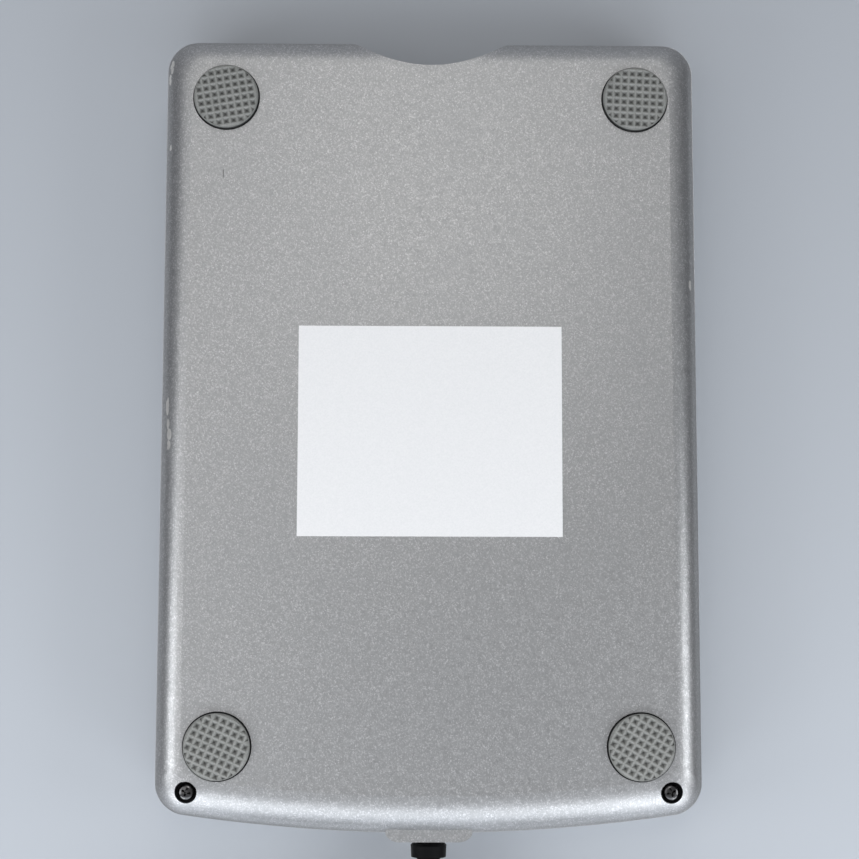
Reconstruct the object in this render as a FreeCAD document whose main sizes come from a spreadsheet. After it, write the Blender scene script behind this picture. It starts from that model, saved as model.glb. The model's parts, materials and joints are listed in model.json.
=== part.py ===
import FreeCAD, Part
import math
import os
import Sketcher
from collections import namedtuple

from FreeCAD import Placement, Rotation, Vector

# An external drive for 3.5 inch floppy disks, standing on its feet. Millimetres.
# X is the width, -Y the front with the disk slot, +Y the rear with the cord, +Z up.
# The origin is on the floor, under the middle of the case.

SIZES = {
    # case
    "side_space": 3.5,
    "rear_space": 18.1,
    "case_height": 18.0,
    "foot_height": 1.2,
    "cover_wall": 1.8,
    "parting_height": 7.8,
    "parting_gap": 0.2,
    "lip_height": 0.9,
    "lip_wall": 0.8,
    "lip_clearance": 0.1,
    "plan_corner_radius": 6.2,
    "flat_corner_radius": 3.2,
    "rear_bow_radius": 324.0,
    "side_rounding": 5.4,
    "front_rounding": 6.0,
    "rear_rounding": 7.4,
    "rounding_height": 6.0,
    "top_rounding": 5.0,
    "top_rounding_height": 4.8,
    "notch_chord": 31.5,
    "notch_depth": 5.8,
    "notch_end_radius": 3.0,
    "rib_wall": 1.2,
    # feet, label and case screws
    "foot_diameter": 12.5,
    "foot_side_inset": 12.1,
    "front_foot_inset": 12.5,
    "rear_foot_inset": 16.4,
    "foot_seat_depth": 0.5,
    "foot_seat_gap": 0.2,
    "foot_rim": 0.5,
    "foot_rim_height": 0.35,
    "label_width": 50.0,
    "label_length": 40.0,
    "label_inset": 77.0,
    "label_thickness": 0.12,
    "screw_side_inset": 6.4,
    "screw_inset": 8.0,
    "screw_head_diameter": 3.1,
    "screw_head_height": 1.0,
    "screw_shank_diameter": 1.8,
    "screw_length": 10.5,
    "inner_screw_length": 2.5,
    "inner_screw_head": 0.9,
    "screw_well_diameter": 4.0,
    "screw_well_depth": 2.2,
    "screw_boss_diameter": 5.2,
    "snap_width": 6.0,
    "snap_bite": 0.4,
    "snap_height": 1.0,
    "snap_lift": 5.4,
    "snap_inset": 5.0,
    # cord outlet
    "outlet_base": 16.2,
    "outlet_flat": 11.2,
    "outlet_reach": 1.4,
    "outlet_height": 9.2,
    "cord_diameter": 4.0,
    "neck_diameter": 5.0,
    "neck_length": 0.6,
    "relief_diameter": 6.8,
    "relief_end_diameter": 5.2,
    "relief_chamfer": 0.4,
    "relief_length": 18.0,
    "relief_flange_diameter": 8.0,
    "relief_flange": 1.4,
    # drive mechanism
    "drive_side_space": 3.0,
    "mechanism_length": 27.4,
    "drive_height": 12.7,
    "drive_setback": 12.3,
    "drive_lift": 0.8,
    "drive_sheet": 0.8,
    "lid_sheet": 0.5,
    "holder_sheet": 0.6,
    "holder_setback": 1.0,
    "ledge_width": 9.0,
    "mount_side_inset": 5.0,
    "mount_front_inset": 21.6,
    "mount_rear_inset": 4.4,
    "disk_width": 90.0,
    "disk_length": 94.0,
    "disk_inset": 0.6,
    "disk_thickness": 3.3,
    "disk_headroom": 1.1,
    "disk_bottom": 4.4,
    "disk_drop": 2.5,
    "slide_travel": 5.0,
    "bridge_lift": 1.2,
    "slider_sheet": 0.6,
    "neck_inset": 8.6,
    "bridge_inset": 14.6,
    "bridge_rear_inset": 18.8,
    "neck_width": 56.0,
    "rivet_spacing": 40.0,
    "rivet_inset": 11.6,
    "rivet_diameter": 2.0,
    "rivet_head_diameter": 3.6,
    "spring_side_inset": 8.5,
    "spring_front_inset": 19.2,
    "spring_rear_inset": 44.4,
    "spring_radius": 0.9,
    "spring_wire": 0.35,
    "bay_clearance": 0.3,
    "pin_diameter": 1.6,
    "slot_clearance": 0.1,
    "front_pin_inset": 14.6,
    "rear_pin_inset": 74.6,
    # front bezel
    "bezel_side_space": 1.7,
    "bezel_setback": 1.0,
    "bezel_bottom": 3.4,
    "bezel_top": 16.0,
    "bezel_gap": 0.1,
    "bezel_wall": 1.6,
    "bezel_rim": 0.8,
    "bezel_side": 1.2,
    "bezel_rear_gap": 0.4,
    "slot_side_space": 0.5,
    "slot_height": 4.8,
    "flap_thickness": 0.8,
    "flap_gap": 0.2,
    "flap_hinge_rise": 0.45,
    "trunnion_diameter": 1.2,
    "button_width": 11.6,
    "button_height": 3.2,
    "button_place": 31.0,
    "button_length": 8.2,
    "button_gap": 0.2,
    "button_socket": 2.4,
    "lens_width": 3.0,
    "lens_height": 1.4,
    "lens_place": 31.0,
    "switch_board_length": 6.0,
    "switch_width": 5.0,
    "switch_height": 2.0,
    "plunger_diameter": 1.4,
    "plunger_height": 1.8,
    "plunger_drop": 1.0,
    "switch_setback": 5.4,
    "switch_side_inset": 4.0,
    "switch_pitch": 5.6,
    # spindle motor
    "spindle_setback": 48.6,
    "board_thickness": 0.8,
    "motor_board_width": 60.0,
    "rotor_diameter": 38.0,
    "rotor_wall": 0.8,
    "rotor_top": 3.0,
    "magnet_wall": 1.4,
    "stator_diameter": 32.0,
    "stator_core": 0.5,
    "stator_tooth_width": 2.0,
    "coil_thickness": 0.2,
    "stator_gap": 0.25,
    "shaft_diameter": 3.0,
    "bearing_diameter": 7.0,
    "running_clearance": 0.03,
    "chuck_diameter": 24.0,
    "chuck_thickness": 0.5,
    "drive_pin_radius": 10.0,
    "drive_pin_diameter": 2.0,
    # heads
    "track_outer_radius": 39.5,
    "window_lead": 1.0,
    "window_inset": 12.0,
    "window_corner": 2.0,
    "rod_diameter": 2.2,
    "rod_spacing": 23.0,
    "rod_height": 1.8,
    "sleeve_radius": 1.5,
    "sleeve_length": 20.0,
    "fork_length": 6.0,
    "arm_reach": 28.0,
    "arm_width": 9.0,
    "arm_sheet": 0.6,
    "arm_lift": 8.6,
    "head_length": 7.0,
    "head_corner": 0.5,
    "head_groove": 0.6,
    "carriage_length": 36.0,
    "carriage_width": 16.0,
    "carriage_lift": 1.3,
    "hinge_setback": 28.0,
    "hinge_rise": 0.7,
    "hinge_pin_diameter": 1.2,
    "spring_seat": 1.8,
    # head positioner
    "stepper_diameter": 10.0,
    "stepper_length": 8.0,
    "stepper_place": 18.0,
    "screw_diameter": 2.4,
    "bracket_width": 8.0,
    "nut_width": 1.2,
    "collar_length": 1.0,
    # shutter lever
    "lever_side_inset": 10.0,
    "lever_rear_inset": 19.4,
    "lever_length": 26.0,
    "lever_hub_diameter": 7.0,
    "lever_tip_diameter": 2.4,
    "lever_thickness": 1.2,
    "lever_rest_angle": 49.6,
    "lever_post_diameter": 3.0,
    # boards
    "usb_board_width": 56.0,
    "usb_board_length": 10.5,
    "control_board_lift": 0.4,
    "control_board_length": 23.0,
    "control_board_inset": 2.4,
    "usb_board_lift": 2.4,
    "cable_width": 9.5,
    "cable_place": 22.8,
    "chip_width": 9.0,
    "chip_height": 1.2,
    "header_inset": 6.7,
    "board_post_spacing": 48.0,
    "board_post_diameter": 4.0,
    "wire_diameter": 0.8,
    "wire_pitch": 0.88,
    # coiled cord and plug
    "coil_inner_turn": 17.7,
    "coil_outer_turn": 26.2,
    "coil_top_turn": 24.1,
    "plug_width": 12.0,
    "plug_thickness": 4.5,
    "plug_length": 12.0,
    "plug_sheet": 0.3,
    "window_width": 2.2,
    "grip_width": 16.0,
    "grip_thickness": 8.0,
    "grip_length": 22.0,
}

doc = FreeCAD.newDocument("floppy_drive")
sheet = doc.addObject("Spreadsheet::Sheet", "Sizes")


class Size:
    """A number together with the sheet expression that it comes from."""

    def __init__(self, value, text):
        self.value = value
        self.text = text

    def joined(self, sign, other, value):
        return Size(value, f"({self.text} {sign} {as_size(other).text})")

    def __add__(self, other):
        return self.joined("+", other, self.value + number(other))

    def __sub__(self, other):
        return self.joined("-", other, self.value - number(other))

    def __mul__(self, other):
        return self.joined("*", other, self.value * number(other))

    def __truediv__(self, other):
        return self.joined("/", other, self.value / number(other))

    def __radd__(self, other):
        return as_size(other) + self

    def __rsub__(self, other):
        return as_size(other) - self

    def __rmul__(self, other):
        return self * other

    def __neg__(self):
        return Size(-self.value, f"(-{self.text})")


def as_size(thing):
    return thing if isinstance(thing, Size) else Size(float(thing), f"({float(thing):.9g})")


def number(thing):
    return thing.value if isinstance(thing, Size) else float(thing)


def root(size):
    return Size(math.sqrt(size.value), f"sqrt({size.text})")


def fill_sheet():
    named = {}
    for row, (alias, value) in enumerate(SIZES.items(), start=1):
        sheet.set(f"A{row}", alias)
        sheet.set(f"B{row}", str(value))
        sheet.setAlias(f"B{row}", alias)
        named[alias] = Size(value, f"Sizes.{alias}")
    doc.recompute()
    return namedtuple("Named", named)(**named)


S = fill_sheet()

# Shared places, worked out from the sizes.
DRIVE_LENGTH = S.disk_inset + S.disk_length + S.mechanism_length
CASE_LENGTH = S.drive_setback + DRIVE_LENGTH + S.rear_space
FRONT = -(CASE_LENGTH + S.outlet_reach) / 2
REAR = FRONT + CASE_LENGTH
UNDERSIDE = S.foot_height
TOP = UNDERSIDE + S.case_height
PARTING = UNDERSIDE + S.parting_height
FLOOR_INSIDE = UNDERSIDE + S.cover_wall
ROOF_INSIDE = TOP - S.cover_wall
DISK_HALF = S.disk_width / 2
DRIVE_SIDE = DISK_HALF + S.drive_side_space
HALF_WIDTH = DRIVE_SIDE + S.side_space
CORD_HEIGHT = PARTING
SCREW_X = HALF_WIDTH - S.screw_side_inset
SCREW_Y = REAR - S.screw_inset

BASE = FLOOR_INSIDE + S.drive_lift
DECK = BASE + S.drive_sheet
DRIVE_FRONT = FRONT + S.drive_setback
DRIVE_REAR = DRIVE_FRONT + DRIVE_LENGTH
DRIVE_TOP = BASE + S.drive_height

DISK_LOW = BASE + S.disk_bottom
DISK_HIGH = DISK_LOW + S.disk_drop
DISK_FRONT = DRIVE_FRONT + S.disk_inset
DISK_REAR = DISK_FRONT + S.disk_length
SPINDLE_Y = DRIVE_FRONT + S.spindle_setback
MOUNT_X = DRIVE_SIDE - S.mount_side_inset

# How far a cutter runs past what it cuts.
PAST = 1.0


# Helpers ----------------------------------------------------------------------------------------

Ring = namedtuple("Ring", "x y radius")


def bind(thing, **amounts):
    """Ties properties to the sheet. Two underscores stand for a dot in a property's path."""
    for name, amount in amounts.items():
        thing.setExpression(name.replace("__", "."), as_size(amount).text)


def put(thing, x=0, y=0, z=0):
    bind(thing, Placement__Base__x=x, Placement__Base__y=y, Placement__Base__z=z)
    return thing


def block(name, x, y, z):
    """A box between two places along each axis."""
    box = doc.addObject("Part::Box", name)
    bind(box, Length=x[1] - x[0], Width=y[1] - y[0], Height=z[1] - z[0])
    return put(box, x[0], y[0], z[0])


TURNS = {"X": Rotation(Vector(0, 1, 0), 90), "Y": Rotation(Vector(1, 0, 0), -90), "Z": Rotation()}


def rod(name, radius, length, x, y, z, along="Z"):
    """A cylinder that starts at a place and runs along an axis."""
    cylinder = doc.addObject("Part::Cylinder", name)
    cylinder.Placement = Placement(Vector(), TURNS[along])
    bind(cylinder, Radius=radius, Height=length)
    return put(cylinder, x, y, z)


def cone(name, start_radius, end_radius, length, x, y, z, along="Z"):
    solid = doc.addObject("Part::Cone", name)
    solid.Placement = Placement(Vector(), TURNS[along])
    bind(solid, Radius1=start_radius, Radius2=end_radius, Height=length)
    return put(solid, x, y, z)


def fuse(name, *parts):
    joined = doc.addObject("Part::MultiFuse", name)
    joined.Shapes = list(parts)
    joined.Refine = True
    return joined


def cut(name, base, *tools):
    carved = doc.addObject("Part::Cut", name)
    carved.Base = base
    carved.Tool = tools[0] if len(tools) == 1 else fuse(name + "_cutters", *tools)
    carved.Refine = True
    return carved


def group(name, *parts):
    """Separate solids that share one node."""
    together = doc.addObject("Part::Compound", name)
    together.Links = list(parts)
    return together


NODES = {}


def node(label, thing):
    """Names a finished sub-part, whose label is also its file's name."""
    thing.Label = label
    NODES[label] = thing
    return thing


def new_body(name):
    return doc.addObject("PartDesign::Body", name)


def origin_plane(body, role):
    return next(item for item in body.Origin.OriginFeatures if item.Role == role)


def new_sketch(body, name, plane, height):
    sketch = body.newObject("Sketcher::SketchObject", name)
    sketch.AttachmentSupport = [(origin_plane(body, plane), "")]
    sketch.MapMode = "FlatFace"
    bind(sketch, AttachmentOffset__Base__z=height)
    return sketch


def fix(sketch, kind, places, amount):
    index = sketch.addConstraint(Sketcher.Constraint(kind, *places, number(amount)))
    if isinstance(amount, Size):
        sketch.setExpression(f"Constraints[{index}]", amount.text)


def fix_point(sketch, line, end, x, y):
    fix(sketch, "DistanceX", (-1, 1, line, end), x)
    fix(sketch, "DistanceY", (-1, 1, line, end), y)


def draw_ring(sketch, ring):
    centre = Vector(number(ring.x), number(ring.y), 0)
    circle = Part.Circle(centre, Vector(0, 0, 1), number(ring.radius))
    line = sketch.addGeometry(circle, False)
    fix_point(sketch, line, 3, ring.x, ring.y)
    fix(sketch, "Radius", (line,), ring.radius)


def arc_between(start, end, radius):
    """The short arc between two points. A positive radius turns left, a negative one right."""
    middle = (start + end) / 2
    half = (end - start) / 2
    rise = math.sqrt(max(radius * radius - half.Length**2, 0.0))
    left = Vector(-half.y, half.x, 0).normalize()
    centre = middle + left * math.copysign(rise, radius)
    first, last = (start, end) if radius > 0 else (end, start)
    angles = [math.atan2(point.y - centre.y, point.x - centre.x) for point in (first, last)]
    return Part.ArcOfCircle(Part.Circle(centre, Vector(0, 0, 1), abs(radius)), *angles)


def draw_outline(sketch, corners):
    """Draws a closed outline. A corner with a third entry ends an arc of that radius."""
    points = [Vector(number(corner[0]), number(corner[1]), 0) for corner in corners]
    ends = []
    for index, corner in enumerate(corners):
        start, end = points[index - 1], points[index]
        if len(corner) == 3:
            line = sketch.addGeometry(arc_between(start, end, number(corner[2])), False)
            ends.append((line, 1, 2) if number(corner[2]) > 0 else (line, 2, 1))
            fix(sketch, "Radius", (line,), -corner[2] if number(corner[2]) < 0 else corner[2])
        else:
            line = sketch.addGeometry(Part.LineSegment(start, end), False)
            ends.append((line, 1, 2))
    for index, corner in enumerate(corners):
        line, _, end = ends[index]
        following, start, _ = ends[(index + 1) % len(corners)]
        sketch.addConstraint(Sketcher.Constraint("Coincident", line, end, following, start))
        fix_point(sketch, line, end, corner[0], corner[1])


def draw(sketch, shapes):
    for shape in shapes:
        if isinstance(shape, Ring):
            draw_ring(sketch, shape)
        else:
            draw_outline(sketch, shape)


def rectangle(x, y):
    return [(x[0], y[0]), (x[1], y[0]), (x[1], y[1]), (x[0], y[1])]


def soft_rectangle(x, y, radius):
    """A rectangle with round corners."""
    return [
        (x[1] - radius, y[0]),
        (x[1], y[0] + radius, radius),
        (x[1], y[1] - radius),
        (x[1] - radius, y[1], radius),
        (x[0] + radius, y[1]),
        (x[0], y[1] - radius, radius),
        (x[0], y[0] + radius),
        (x[0] + radius, y[0], radius),
    ]


def grow(body, name, reach, *shapes, plane="XY_Plane"):
    """Adds what the shapes sweep between two places along the plane's axis."""
    low, high = reach
    height = -high if plane == "XZ_Plane" else low
    sketch = new_sketch(body, name + "_outline", plane, as_size(height))
    draw(sketch, shapes)
    pad = body.newObject("PartDesign::Pad", name)
    pad.Profile = sketch
    bind(pad, Length=high - low)
    doc.recompute()
    return pad


def carve(body, name, reach, *shapes, plane="XY_Plane"):
    """Removes what the shapes sweep between two places along the plane's axis."""
    low, high = reach
    before = body.Shape.Volume
    height = -low if plane == "XZ_Plane" else high
    sketch = new_sketch(body, name + "_outline", plane, as_size(height))
    draw(sketch, shapes)
    pocket = body.newObject("PartDesign::Pocket", name)
    pocket.Profile = sketch
    bind(pocket, Length=high - low)
    doc.recompute()
    if body.Shape.Volume >= before:
        raise RuntimeError(f"{name} of {body.Name} removes nothing")
    return pocket


def loft(body, name, kind, sections):
    """Joins outlines at several heights, given as (height, outline)."""
    sketches = []
    for index, (height, outline) in enumerate(sections):
        sketch = new_sketch(body, f"{name}_section{index}", "XY_Plane", height)
        draw(sketch, [outline])
        sketches.append(sketch)
    doc.recompute()
    feature = body.newObject("PartDesign::" + kind, name)
    feature.Profile = sketches[0]
    feature.Sections = sketches[1:]
    doc.recompute()
    return feature


# Places of the case and its front ---------------------------------------------------------------

NOTCH_HALF = S.notch_chord / 2
NOTCH_RADIUS = (NOTCH_HALF * NOTCH_HALF + S.notch_depth * S.notch_depth) / (S.notch_depth * 2)
NOTCH_CENTRE = FRONT + S.notch_depth - NOTCH_RADIUS
SHANK_HOLE = S.screw_shank_diameter / 2 + S.slot_clearance
SCREW_SEAT = UNDERSIDE + S.screw_well_depth
SCREW_TIP = SCREW_SEAT + S.screw_length
SNAP_INSIDE = DRIVE_SIDE + S.bay_clearance
SNAP_OUTSIDE = HALF_WIDTH - S.cover_wall + S.snap_bite
SNAP_LOW = UNDERSIDE + S.snap_lift
SNAP_Y = (DRIVE_FRONT + S.snap_inset, DRIVE_FRONT + S.snap_inset + S.snap_width)
BEZEL_LOW = UNDERSIDE + S.bezel_bottom
BEZEL_HIGH = UNDERSIDE + S.bezel_top
BEZEL_REAR = DRIVE_FRONT - S.bezel_rear_gap
HOLDER_HEIGHT = S.disk_thickness + S.disk_headroom
SLOT_LOW = DISK_HIGH - (S.slot_height - HOLDER_HEIGHT) / 2
SLOT_HIGH = SLOT_LOW + S.slot_height
BUTTON_SPAN = (S.button_place - S.button_width / 2, S.button_place + S.button_width / 2)
BRIDGE_LOW = DECK + S.bridge_lift
BRIDGE_HIGH = BRIDGE_LOW + S.slider_sheet
BUTTON_LOW = BRIDGE_LOW - S.button_gap
BUTTON_RISE = (BUTTON_LOW, BUTTON_LOW + S.button_height)
LENS_SPAN = (-S.lens_place - S.lens_width / 2, -S.lens_place + S.lens_width / 2)
LENS_RISE = (BRIDGE_HIGH, BRIDGE_HIGH + S.lens_height)
FLAP_Y = FRONT + S.notch_depth + S.bezel_setback + S.bezel_wall + S.flap_gap + S.flap_thickness / 2
FLAP_HINGE_Z = SLOT_HIGH + S.flap_hinge_rise
BEZEL_HALF = DISK_HALF + S.bezel_side_space
SLOT_HALF = DISK_HALF + S.slot_side_space
USB_BOARD_LOW = FLOOR_INSIDE + S.usb_board_lift
USB_DECK = USB_BOARD_LOW + S.board_thickness
RELIEF_INSIDE = REAR - S.cover_wall - S.slot_clearance - S.relief_flange
RELIEF_START = REAR + S.outlet_reach + S.neck_length
RELIEF_END = RELIEF_START + S.relief_length
TAIL_FRONT = RELIEF_INSIDE - S.cord_diameter
HEADER_REAR = TAIL_FRONT - S.cord_diameter / 2
USB_BOARD_FRONT = HEADER_REAR - S.header_inset


# Case -------------------------------------------------------------------------------------------

SECTION_ANGLES = (0, 18, 36, 52, 66, 78, 90)


def case_outline(side, front, rear, corner):
    """The case's outline, moved in from its sides, front and bowed rear, with round corners."""
    half = HALF_WIDTH - side
    near = FRONT + front
    bow_centre = REAR - S.rear_bow_radius
    bow = S.rear_bow_radius - rear
    corner_x = half - corner
    corner_y = bow_centre + root((bow - corner) * (bow - corner) - corner_x * corner_x)
    share = bow / (bow - corner)
    bow_x = corner_x * share
    bow_y = bow_centre + (corner_y - bow_centre) * share
    return [
        (half - corner, near),
        (half, near + corner, corner),
        (half, corner_y),
        (bow_x, bow_y, corner),
        (-bow_x, bow_y, bow),
        (-half, corner_y, corner),
        (-half, near + corner),
        (-half + corner, near, corner),
    ]


def inset_outline(inset):
    return case_outline(inset, inset, inset, S.plan_corner_radius - inset)


def rounded_sections(skin, flat, rise, roundings):
    """Outlines from the upright wall to the flat face. A skin over 0 gives the inside."""
    sections = []
    for angle in SECTION_ANGLES:
        in_share = 1 - math.cos(math.radians(angle))
        up_share = 1 - math.sin(math.radians(angle))
        insets = [(rounding - skin) * in_share + skin for rounding in roundings]
        corner = S.plan_corner_radius - skin
        corner = corner + (S.flat_corner_radius - S.plan_corner_radius) * in_share
        sections.append((flat + rise * up_share, case_outline(*insets, corner)))
    return sections


def cover_form(body, flat, rounding_height, roundings, direction):
    """A cover's hollow form. The direction is 1 for a floor below its walls and -1 for a roof."""
    wall = S.cover_wall
    shoulder = flat + direction * rounding_height
    edge = PARTING - direction * S.parting_gap / 2
    upright = (shoulder, edge) if direction > 0 else (edge, shoulder)
    skinless = as_size(0)
    grow(body, "walls", upright, inset_outline(skinless))
    outer = rounded_sections(skinless, flat, direction * rounding_height, roundings)
    loft(body, "rounded_shell", "AdditiveLoft", outer)
    carve(body, "well", upright, inset_outline(wall))
    inner = rounded_sections(wall, flat + direction * wall, direction * (rounding_height - wall), roundings)
    loft(body, "hollow", "SubtractiveLoft", inner)


def notch_outline():
    """The finger notch in plan: an arc with softened ends, open to the front."""
    end = S.notch_end_radius
    rise = FRONT + end - NOTCH_CENTRE
    end_x = root((NOTCH_RADIUS + end) * (NOTCH_RADIUS + end) - rise * rise)
    share = NOTCH_RADIUS / (NOTCH_RADIUS + end)
    meet_x = end_x * share
    meet_y = NOTCH_CENTRE + rise * share
    outside = FRONT - S.cover_wall
    return [
        (-end_x, outside),
        (end_x, outside),
        (end_x, FRONT),
        (meet_x, meet_y, -end),
        (-meet_x, meet_y, NOTCH_RADIUS),
        (-end_x, FRONT, -end),
    ]


def notch_wall_outline():
    """The wall that closes the cover behind the notch."""
    radius = NOTCH_RADIUS + S.cover_wall
    near = FRONT + S.cover_wall * 4 / 3
    half = root(radius * radius - (near - NOTCH_CENTRE) * (near - NOTCH_CENTRE))
    return [(half, near), (-half, near, radius)]


def foot_places():
    for side, side_name in ((-1, "left"), (1, "right")):
        x = side * (HALF_WIDTH - S.foot_side_inset)
        yield f"front_{side_name}_foot", x, FRONT + S.front_foot_inset
        yield f"rear_{side_name}_foot", x, REAR - S.rear_foot_inset


def mount_places():
    for side in (-1, 1):
        for y in (DRIVE_FRONT + S.mount_front_inset, DRIVE_REAR - S.mount_rear_inset):
            yield side * MOUNT_X, y


def outlet_outline():
    """The boss round the cord: a flat with rounded ends on the rear wall."""
    base = S.outlet_base / 2
    flat = S.outlet_flat / 2
    run = base - flat
    end = (run * run + S.outlet_reach * S.outlet_reach) / (S.outlet_reach * 2)
    inside = REAR - S.cover_wall
    tip = REAR + S.outlet_reach
    boss = [(base, REAR), (flat, tip, end), (-flat, tip), (-base, REAR, end)]
    return [(-base, inside), (base, inside)] + boss


RIB_SHARES = (0.25, 0.5, 0.75)


def rib_outlines():
    """Short ribs on the side walls, which hold the drive in the middle."""
    inside = DRIVE_SIDE + S.bay_clearance
    outside = HALF_WIDTH - S.cover_wall + S.lip_clearance
    outlines = []
    for side in (-1, 1):
        span = (side * inside, side * outside) if side > 0 else (side * outside, side * inside)
        for share in RIB_SHARES:
            middle = DRIVE_FRONT + DRIVE_LENGTH * share
            outlines.append(rectangle(span, (middle - S.rib_wall / 2, middle + S.rib_wall / 2)))
    return outlines


def snap_span(side, inside, outside):
    return (inside, outside) if side > 0 else (-outside, -inside)


def both_sides(inside, outside):
    return ((-outside, -inside), (inside, outside))


def carve_front(body, low, high):
    """The notch and the opening for the bezel."""
    carve(body, "notch", (UNDERSIDE - PAST, TOP + PAST), notch_outline())
    half = BEZEL_HALF + S.bezel_gap
    opening = rectangle((-half, half), (FRONT - S.cover_wall, BEZEL_REAR + S.bezel_gap))
    carve(body, "bezel_opening", (low, high), opening)


def carve_cord_hole(body):
    neck = Ring(as_size(0), CORD_HEIGHT, S.neck_diameter / 2)
    reach = (REAR - S.cover_wall * 2, REAR + S.outlet_reach * 2)
    carve(body, "cord_hole", reach, neck, plane="XZ_Plane")


def bezel_outline(half, inward, rear):
    """The bezel in plan, with its front moved in by a wall."""
    front = FRONT + S.bezel_setback + inward
    radius = NOTCH_RADIUS + S.bezel_setback + inward
    meet = root(radius * radius - (front - NOTCH_CENTRE) * (front - NOTCH_CENTRE))
    arc = [(-meet, front), (meet, front, -radius)]
    return arc + [(half, front), (half, rear), (-half, rear), (-half, front)]


def board_post_places():
    for side in (-1, 1):
        yield side * S.board_post_spacing / 2, USB_BOARD_FRONT + S.usb_board_length / 2


def make_bottom_cover():
    body = new_body("bottom_cover")
    roundings = (S.side_rounding, S.front_rounding, S.rear_rounding)
    cover_form(body, UNDERSIDE, S.rounding_height, roundings, 1)
    edge = PARTING - S.parting_gap / 2
    grow(body, "outlet", (CORD_HEIGHT - S.outlet_height / 2, edge), outlet_outline())
    lip = (inset_outline(S.cover_wall - S.lip_wall), inset_outline(S.cover_wall))
    grow(body, "lip", (edge, edge + S.lip_height), *lip)
    grow(body, "notch_wall", (FLOOR_INSIDE, BEZEL_LOW - S.bezel_gap), notch_wall_outline())
    carve_front(body, BEZEL_LOW - S.bezel_gap, TOP)
    for name, x, y in foot_places():
        seat = Ring(x, y, S.foot_diameter / 2 + S.foot_seat_gap)
        carve(body, name + "_seat", (UNDERSIDE, UNDERSIDE + S.foot_seat_depth), seat)
    bosses = [Ring(side * SCREW_X, SCREW_Y, S.screw_boss_diameter / 2) for side in (-1, 1)]
    grow(body, "screw_bosses", (FLOOR_INSIDE, edge), *bosses)
    holes = [Ring(side * SCREW_X, SCREW_Y, SHANK_HOLE) for side in (-1, 1)]
    carve(body, "screw_holes", (UNDERSIDE, edge), *holes)
    wells = [Ring(side * SCREW_X, SCREW_Y, S.screw_well_diameter / 2) for side in (-1, 1)]
    carve(body, "screw_wells", (UNDERSIDE, UNDERSIDE + S.screw_well_depth), *wells)
    posts = [Ring(x, y, S.screw_boss_diameter / 2) for x, y in mount_places()]
    grow(body, "drive_posts", (FLOOR_INSIDE, BASE), *posts)
    cores = [Ring(x, y, S.screw_shank_diameter / 2) for x, y in mount_places()]
    carve(body, "drive_post_cores", (FLOOR_INSIDE - S.cover_wall / 2, BASE), *cores)
    board_posts = [Ring(x, y, S.board_post_diameter / 2) for x, y in board_post_places()]
    grow(body, "board_posts", (FLOOR_INSIDE, USB_BOARD_LOW), *board_posts)
    cores = [Ring(x, y, S.screw_shank_diameter / 2) for x, y in board_post_places()]
    carve(body, "board_post_cores", (FLOOR_INSIDE, USB_BOARD_LOW), *cores)
    grow(body, "side_ribs", (FLOOR_INSIDE, edge), *rib_outlines())
    for side, name in ((-1, "left"), (1, "right")):
        recess = rectangle(snap_span(side, SNAP_INSIDE, SNAP_OUTSIDE + S.lip_clearance), SNAP_Y)
        low = SNAP_LOW - S.lip_clearance
        carve(body, name + "_snap_recess", (low, low + S.snap_height + S.lip_clearance * 2), recess)
    carve_cord_hole(body)
    flange = Ring(as_size(0), CORD_HEIGHT, S.relief_flange_diameter / 2 + S.slot_clearance)
    seat = (RELIEF_INSIDE - S.slot_clearance, REAR - S.cover_wall)
    carve(body, "relief_seat", seat, flange, plane="XZ_Plane")
    return node("bottom_cover", body)


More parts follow.
